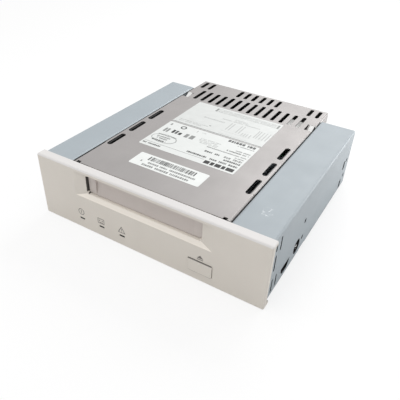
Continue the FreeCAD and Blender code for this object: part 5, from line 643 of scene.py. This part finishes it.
TALL_COLUMNS = (0.8, 2.8, 8.3, 10.3, 20.8, 22.4, 24.5, 26.6, 28.7)
SHORT_COLUMNS = (12.8, 14.5, 16.2, 18.3)
UPPER_BLOCKS = (
    (-18.4, -17.0, 33.0, 38.0, 2), (27.8, 29.1, 33.0, 38.0, 2), (-17.0, 27.8, 37.7, 38.0, 3),
    (-17.0, 27.8, 33.0, 33.3, 3), (-0.9, 19.5, 9.9, 10.1, 3), (-0.9, 19.5, 5.9, 6.1, 3),
    (-34.4, 30.1, 4.15, 4.6, 1),
) + tuple((x - COLUMN_HALF, x + COLUMN_HALF, 12.2, 23.0, 3) for x in TALL_COLUMNS) \
  + tuple((x - COLUMN_HALF, x + COLUMN_HALF, 10.5, 14.7, 3) for x in SHORT_COLUMNS)
SERIAL_ROWS = ((-20.9, 15.3, -49.3, 1.6, 2), (-18.0, 13.2, -52.3, 1.8, 2))
SERIAL_BLOCKS = ((-18.0, -17.2, -47.0, -42.8, 0), (12.5, 13.2, -47.0, -42.8, 0))
SERIAL_BARS = (-16.4, 11.9, -47.0, -42.8)
RINGS = ((-22.3, -1.2, 2.1, 2.1, 0.9, 1), (-24.8, -20.5, 8.7, 5.2, 0.35, 2), (-20.4, -20.5, 4.3, 4.9, 0.3, 3))


def label_sheet(name, low_x, high_x, low_y, high_y, sizes, material):
    """A rounded sheet stuck on top of the cover."""
    mesh = bmesh.new()
    outline = [(x, y, COVER_TOP_Z) for x, y in round_outline(low_x, high_x, low_y, high_y, sizes.corner)]
    add_plate(mesh, outline, (0, 0, sizes.thickness))
    return new_piece(name, mesh, [material])


class Press:
    """Lays thin printed shapes on top of a label."""

    def __init__(self, sizes):
        self.mesh = bmesh.new()
        self.low = COVER_TOP_Z + sizes.thickness - SUNK
        self.high = COVER_TOP_Z + sizes.thickness + sizes.print_height
        self.draw = random.Random(sizes.seed)

    def bar(self, low_x, high_x, low_y, high_y, ink):
        """One plain rectangle."""
        add_block(self.mesh, (low_x, low_y, self.low), (high_x, high_y, self.high), ink)

    def row(self, low_x, high_x, middle, height, ink):
        """Short upright bars with gaps between words, as small print looks from a distance."""
        place = low_x
        while place < high_x:
            width = min(height * self.draw.choice((0.35, 0.50, 0.65)), high_x - place)
            if self.draw.random() > 0.10:
                top = middle + height / 2 * self.draw.choice((1.0, 1.0, 0.7))
                self.bar(place, place + width, middle - height / 2, top, ink)
            place += width + 0.18 * height

    def ring(self, middle_x, middle_y, radius_x, radius_y, width, ink, steps=40):
        """An oval outline."""
        points = [(math.cos(math.tau * k / steps), math.sin(math.tau * k / steps)) for k in range(steps)]
        for step in range(steps):
            corners = [(middle_x + (radius_x - shrink) * points[index][0],
                        middle_y + (radius_y - shrink) * points[index][1], self.low)
                       for index, shrink in ((step - 1, 0), (step, 0), (step, width), (step - 1, width))]
            add_plate(self.mesh, corners, (0, 0, self.high - self.low), ink)

    def bar_code(self, low_x, high_x, low_y, high_y, module, ink):
        """Upright bars of one to three modules with gaps between."""
        place = low_x
        while place < high_x:
            width = module * self.draw.choice((1, 1, 2, 3))
            self.bar(place, min(place + width, high_x), low_y, high_y, ink)
            place += width + module * self.draw.choice((1, 1, 2))


def print_sheet(name, sizes, inks, rows, blocks, rings=(), bars=None):
    """All the print of one label, as plain blocks and rows without words."""
    press = Press(sizes)
    for low_x, high_x, middle, height, ink in rows:
        press.row(low_x * MM, high_x * MM, middle * MM, height * MM, ink)
    for low_x, high_x, low_y, high_y, ink in blocks:
        press.bar(low_x * MM, high_x * MM, low_y * MM, high_y * MM, ink)
    for *shape, ink in rings:
        press.ring(*(size * MM for size in shape), ink)
    if bars:
        press.bar_code(*(size * MM for size in bars), BAR_MODULE, 1)
    return new_piece(name, press.mesh, inks)


# ---------------------------------------------------------------- marks on the bezel
READY_X, TAPE_X, SERVICE_X = -44.4 * MM, -29.6 * MM, -14.6 * MM


def face_bar(mesh, low_x, high_x, low_z, high_z, proud):
    """A thin printed rectangle on the bezel's face."""
    add_block(mesh, (low_x, BEZEL_LOW.y - proud, low_z), (high_x, BEZEL_LOW.y + SUNK, high_z))


def face_plate(mesh, points, proud):
    """A thin printed shape on the bezel's face from (x, z) points."""
    outline = [(x, BEZEL_LOW.y + SUNK, z) for x, z in points]
    add_plate(mesh, outline, (0, -proud - SUNK, 0))


def face_band(mesh, points, width, proud):
    """A closed line of constant width through (x, z) points, mitred at its corners."""
    corners = [Vector(point) for point in points]
    sides = []
    for before, here, after in zip(corners[-1:] + corners[:-1], corners, corners[1:] + corners[:1]):
        first, second = (here - before).normalized(), (after - here).normalized()
        across = Vector((-first.y - second.y, first.x + second.x)) / (1 + first.dot(second))
        sides.append((here + across * width / 2, here - across * width / 2))
    for (left, right), (next_left, next_right) in zip(sides, sides[1:] + sides[:1]):
        face_plate(mesh, (left, right, next_right, next_left), proud)


def circle_points(x, z, radius, steps):
    """Points of a circle on the bezel's face."""
    return [(x + radius * math.cos(math.tau * k / steps), z + radius * math.sin(math.tau * k / steps))
            for k in range(steps)]


def indicator_icons(sizes, material):
    """Symbols over the three lamps: a ring for ready, a cassette for tape, a triangle for service."""
    mesh = bmesh.new()
    proud, line = sizes.print_height, 0.45 * MM
    face_band(mesh, circle_points(READY_X, 12.0 * MM, 2.0 * MM, 32), line, proud)
    face_bar(mesh, READY_X - 0.25 * MM, READY_X + 0.25 * MM, 11.0 * MM, 13.0 * MM, proud)
    left, right = TAPE_X - 2.2 * MM, TAPE_X + 2.2 * MM
    shell = [(left, 9.5 * MM), (right, 9.5 * MM), (right, 12.9 * MM), (left, 12.9 * MM)]
    face_band(mesh, shell, 0.4 * MM, proud)
    for middle in (TAPE_X - MM, TAPE_X + MM):
        face_plate(mesh, circle_points(middle, 11.5 * MM, 0.45 * MM, 12), proud)
    face_bar(mesh, TAPE_X - 1.3 * MM, TAPE_X + 1.3 * MM, 9.9 * MM, 10.4 * MM, proud)
    left, right = SERVICE_X - 2.3 * MM, SERVICE_X + 2.3 * MM
    face_band(mesh, [(left, 9.6 * MM), (right, 9.6 * MM), (SERVICE_X, 13.6 * MM)], line, proud)
    for low, high in ((10.9 * MM, 12.3 * MM), (10.2 * MM, 10.6 * MM)):
        face_bar(mesh, SERVICE_X - 0.2 * MM, SERVICE_X + 0.2 * MM, low, high, proud)
    return new_piece("indicator_icons", mesh, [material])


def eject_mark(sizes, material):
    """Triangle over a bar, above the key."""
    mesh = bmesh.new()
    middle = (BUTTON_LOW.x + BUTTON_HIGH.x) / 2
    left, right = middle - 1.9 * MM, middle + 1.9 * MM
    face_plate(mesh, [(left, 16.1 * MM), (right, 16.1 * MM), (middle, 18.1 * MM)], sizes.print_height)
    face_bar(mesh, left, right, 15.1 * MM, 15.6 * MM, sizes.print_height)
    return new_piece("eject_mark", mesh, [material])


# ---------------------------------------------------------------- stage
GROUND_GLOW_NEAR, GROUND_GLOW_FAR = 0.75, 1.0
GLOW_STARTS, GLOW_ENDS = 0.30, 1.0
GROUND_REACH = 4.0
SENSOR_WIDTH = 36.0
# Lamps: name, place, aim, size.
LAMPS = (
    ("overhead", (-0.12, -0.20, 0.56), (0, 0, 0.02), (0.5, 0.5)),
    ("rear", (-0.02, 0.62, 0.55), (0.05, 0, 0.03), (0.45, 0.35)),
    ("front", (-0.12, -0.62, 0.22), (0, -0.06, 0.02), (0.4, 0.3)),
    ("side", (0.21, 0.23, 0.09), (0.073, 0.075, 0.025), (0.12, 0.10)),
)


def stage_material():
    """Pale ground that keeps soft shadows near the drive and looks white from the camera."""
    material, tree, shader, place = principled("stage_ground", 0.9)
    shader.inputs["Base Color"].default_value = (0.90, 0.90, 0.90, 1.0)
    shader.inputs["Specular IOR Level"].default_value = 0.0
    glow = node(tree, "ShaderNodeEmission", (0, -300), {"Color": (1, 1, 1, 1), "Strength": 1.0})
    rays = node(tree, "ShaderNodeLightPath", (-500, 300))
    away = node(tree, "ShaderNodeVectorMath", (-700, 100), {"operation": "LENGTH"})
    tree.links.new(place, away.inputs[0])
    share = node(tree, "ShaderNodeMapRange", (-500, 100),
                 {"From Min": GLOW_STARTS, "From Max": GLOW_ENDS,
                  "To Min": GROUND_GLOW_NEAR, "To Max": GROUND_GLOW_FAR},
                 Value=away.outputs["Value"])
    both = node(tree, "ShaderNodeMixShader", (250, 0))
    tree.links.new(product(tree, rays.outputs["Is Camera Ray"], share.outputs["Result"]), both.inputs[0])
    tree.links.new(shader.outputs["BSDF"], both.inputs[1])
    tree.links.new(glow.outputs["Emission"], both.inputs[2])
    output = tree.nodes["Material Output"]
    tree.links.new(both.outputs["Shader"], output.inputs["Surface"])
    return material


def soft_lamp(name, place, aim, size, power):
    """A rectangular area lamp turned towards a point."""
    data = bpy.data.lights.new(name, "AREA")
    data.shape = "RECTANGLE"
    data.size, data.size_y = size
    data.energy = power
    lamp = bpy.data.objects.new(name, data)
    lamp.location = place
    lamp.rotation_euler = (Vector(aim) - Vector(place)).to_track_quat("-Z", "Y").to_euler()
    bpy.context.scene.collection.objects.link(lamp)


def white_world(strength):
    """White behind the object, and an even light all round."""
    world = bpy.data.worlds.new("stage_sky")
    world.use_nodes = True
    tree = world.node_tree
    background = tree.nodes["Background"]
    background.inputs["Color"].default_value = (1, 1, 1, 1)
    rays = node(tree, "ShaderNodeLightPath", (-600, 0))
    strengths = node(tree, "ShaderNodeMapRange", (-300, 0), {"To Min": strength, "To Max": 1.0})
    tree.links.new(rays.outputs["Is Camera Ray"], strengths.inputs["Value"])
    tree.links.new(strengths.outputs["Result"], background.inputs["Strength"])
    bpy.context.scene.world = world


# ---------------------------------------------------------------- operators
class TAPEDRIVE_OT_finishes(bpy.types.Operator):
    """Give every part of the drive its finish"""
    bl_idname = "tapedrive.finishes"
    bl_label = "Finishes"

    def execute(self, context):
        look = context.scene.tapedrive_finish
        materials = make_finishes(look)
        housings = make_housings(look)
        for row in frame["record"]["subparts"]:
            name = row["node"]
            owner = frame["nodes"][name]
            owner.data.materials.clear()
            owner.data.materials.append(housings.get(name) or materials[row["material_slot"]])
        return {"FINISHED"}


class TAPEDRIVE_OT_labels(bpy.types.Operator):
    """Stick the three labels on the cover and print them"""
    bl_idname = "tapedrive.labels"
    bl_label = "Labels"

    def execute(self, context):
        look, sizes = context.scene.tapedrive_finish, context.scene.tapedrive_label
        paper = coated_paper("label_paper", look.label)
        bright_paper = coated_paper("serial_label_paper", shade(look.label, 1.09))
        grey_paper = coated_paper("upper_label_paper", shade(look.label, 0.90), 0.03)
        inks = [printed_ink(name, shade(look.label, share)) for name, share in INK_SHARES]
        label_sheet("ratings_label", LABEL_LEFT, LABEL_RIGHT, RATINGS_FRONT, RATINGS_BACK, sizes, paper)
        label_sheet("upper_label", LABEL_LEFT, LABEL_RIGHT, UPPER_FRONT, UPPER_BACK, sizes, grey_paper)
        label_sheet("serial_label", SERIAL_LEFT, SERIAL_RIGHT, SERIAL_FRONT, SERIAL_BACK, sizes, bright_paper)
        print_sheet("ratings_print", sizes, inks, RATINGS_ROWS, RATINGS_BLOCKS, RINGS)
        print_sheet("upper_print", sizes, inks, UPPER_ROWS, UPPER_BLOCKS)
        print_sheet("serial_print", sizes, inks, SERIAL_ROWS, SERIAL_BLOCKS, bars=SERIAL_BARS)
        return {"FINISHED"}


class TAPEDRIVE_OT_marks(bpy.types.Operator):
    """Print the symbols on the bezel"""
    bl_idname = "tapedrive.marks"
    bl_label = "Bezel marks"

    def execute(self, context):
        look, sizes = context.scene.tapedrive_finish, context.scene.tapedrive_label
        ink = printed_ink("mark_ink", look.mark_ink)
        indicator_icons(sizes, ink)
        eject_mark(sizes, ink)
        return {"FINISHED"}


class TAPEDRIVE_OT_stage(bpy.types.Operator):
    """Set the camera, the lamps and the ground"""
    bl_idname = "tapedrive.stage"
    bl_label = "Stage"

    def execute(self, context):
        scene, settings = context.scene, context.scene.tapedrive_stage
        scene.view_settings.view_transform = "Standard"
        data = bpy.data.cameras.new("view")
        data.lens = settings.lens
        data.sensor_width = SENSOR_WIDTH
        data.clip_start, data.clip_end = 0.01, 50.0
        camera = bpy.data.objects.new("view", data)
        camera.location = settings.camera_place
        camera.rotation_euler = settings.camera_turn
        scene.collection.objects.link(camera)
        scene.camera = camera
        white_world(settings.sky)
        for name, place, aim, size in LAMPS:
            soft_lamp(name, place, aim, size, getattr(settings, name))
        mesh = bmesh.new()
        bmesh.ops.create_grid(mesh, x_segments=1, y_segments=1, size=GROUND_REACH,
                              matrix=Matrix.Translation((0, 0, SHELF_Z)))
        data = bpy.data.meshes.new("ground")
        mesh.to_mesh(data)
        mesh.free()
        data.materials.append(stage_material())
        ground = bpy.data.objects.new("ground", data)
        scene.collection.objects.link(ground)
        return {"FINISHED"}


class TAPEDRIVE_PT_panel(bpy.types.Panel):
    """Settings and steps of the tape drive's dressing"""
    bl_label = "Tape Drive"
    bl_idname = "TAPEDRIVE_PT_panel"
    bl_space_type = "VIEW_3D"
    bl_region_type = "UI"
    bl_category = "Tape Drive"

    def draw(self, context):
        for title, settings in (("Finish", context.scene.tapedrive_finish),
                                ("Labels", context.scene.tapedrive_label),
                                ("Stage", context.scene.tapedrive_stage)):
            box = self.layout.box()
            box.label(text=title)
            for name in settings.__annotations__:
                box.prop(settings, name)
        for operator in OPERATORS:
            self.layout.operator(operator.bl_idname)


SETTINGS = (("tapedrive_finish", FinishSettings), ("tapedrive_label", LabelSettings),
            ("tapedrive_stage", StageSettings))
OPERATORS = (TAPEDRIVE_OT_finishes, TAPEDRIVE_OT_labels, TAPEDRIVE_OT_marks, TAPEDRIVE_OT_stage)


def register():
    for name, group in SETTINGS:
        bpy.utils.register_class(group)
        setattr(bpy.types.Scene, name, PointerProperty(type=group))
    for kind in (*OPERATORS, TAPEDRIVE_PT_panel):
        bpy.utils.register_class(kind)


def unregister():
    for kind in (TAPEDRIVE_PT_panel, *reversed(OPERATORS)):
        bpy.utils.unregister_class(kind)
    for name, group in reversed(SETTINGS):
        delattr(bpy.types.Scene, name)
        bpy.utils.unregister_class(group)


def main():
    register()
    for operator in (bpy.ops.tapedrive.finishes, bpy.ops.tapedrive.labels, bpy.ops.tapedrive.marks,
                     bpy.ops.tapedrive.stage):
        operator()


if __name__ == "__main__":
    main()
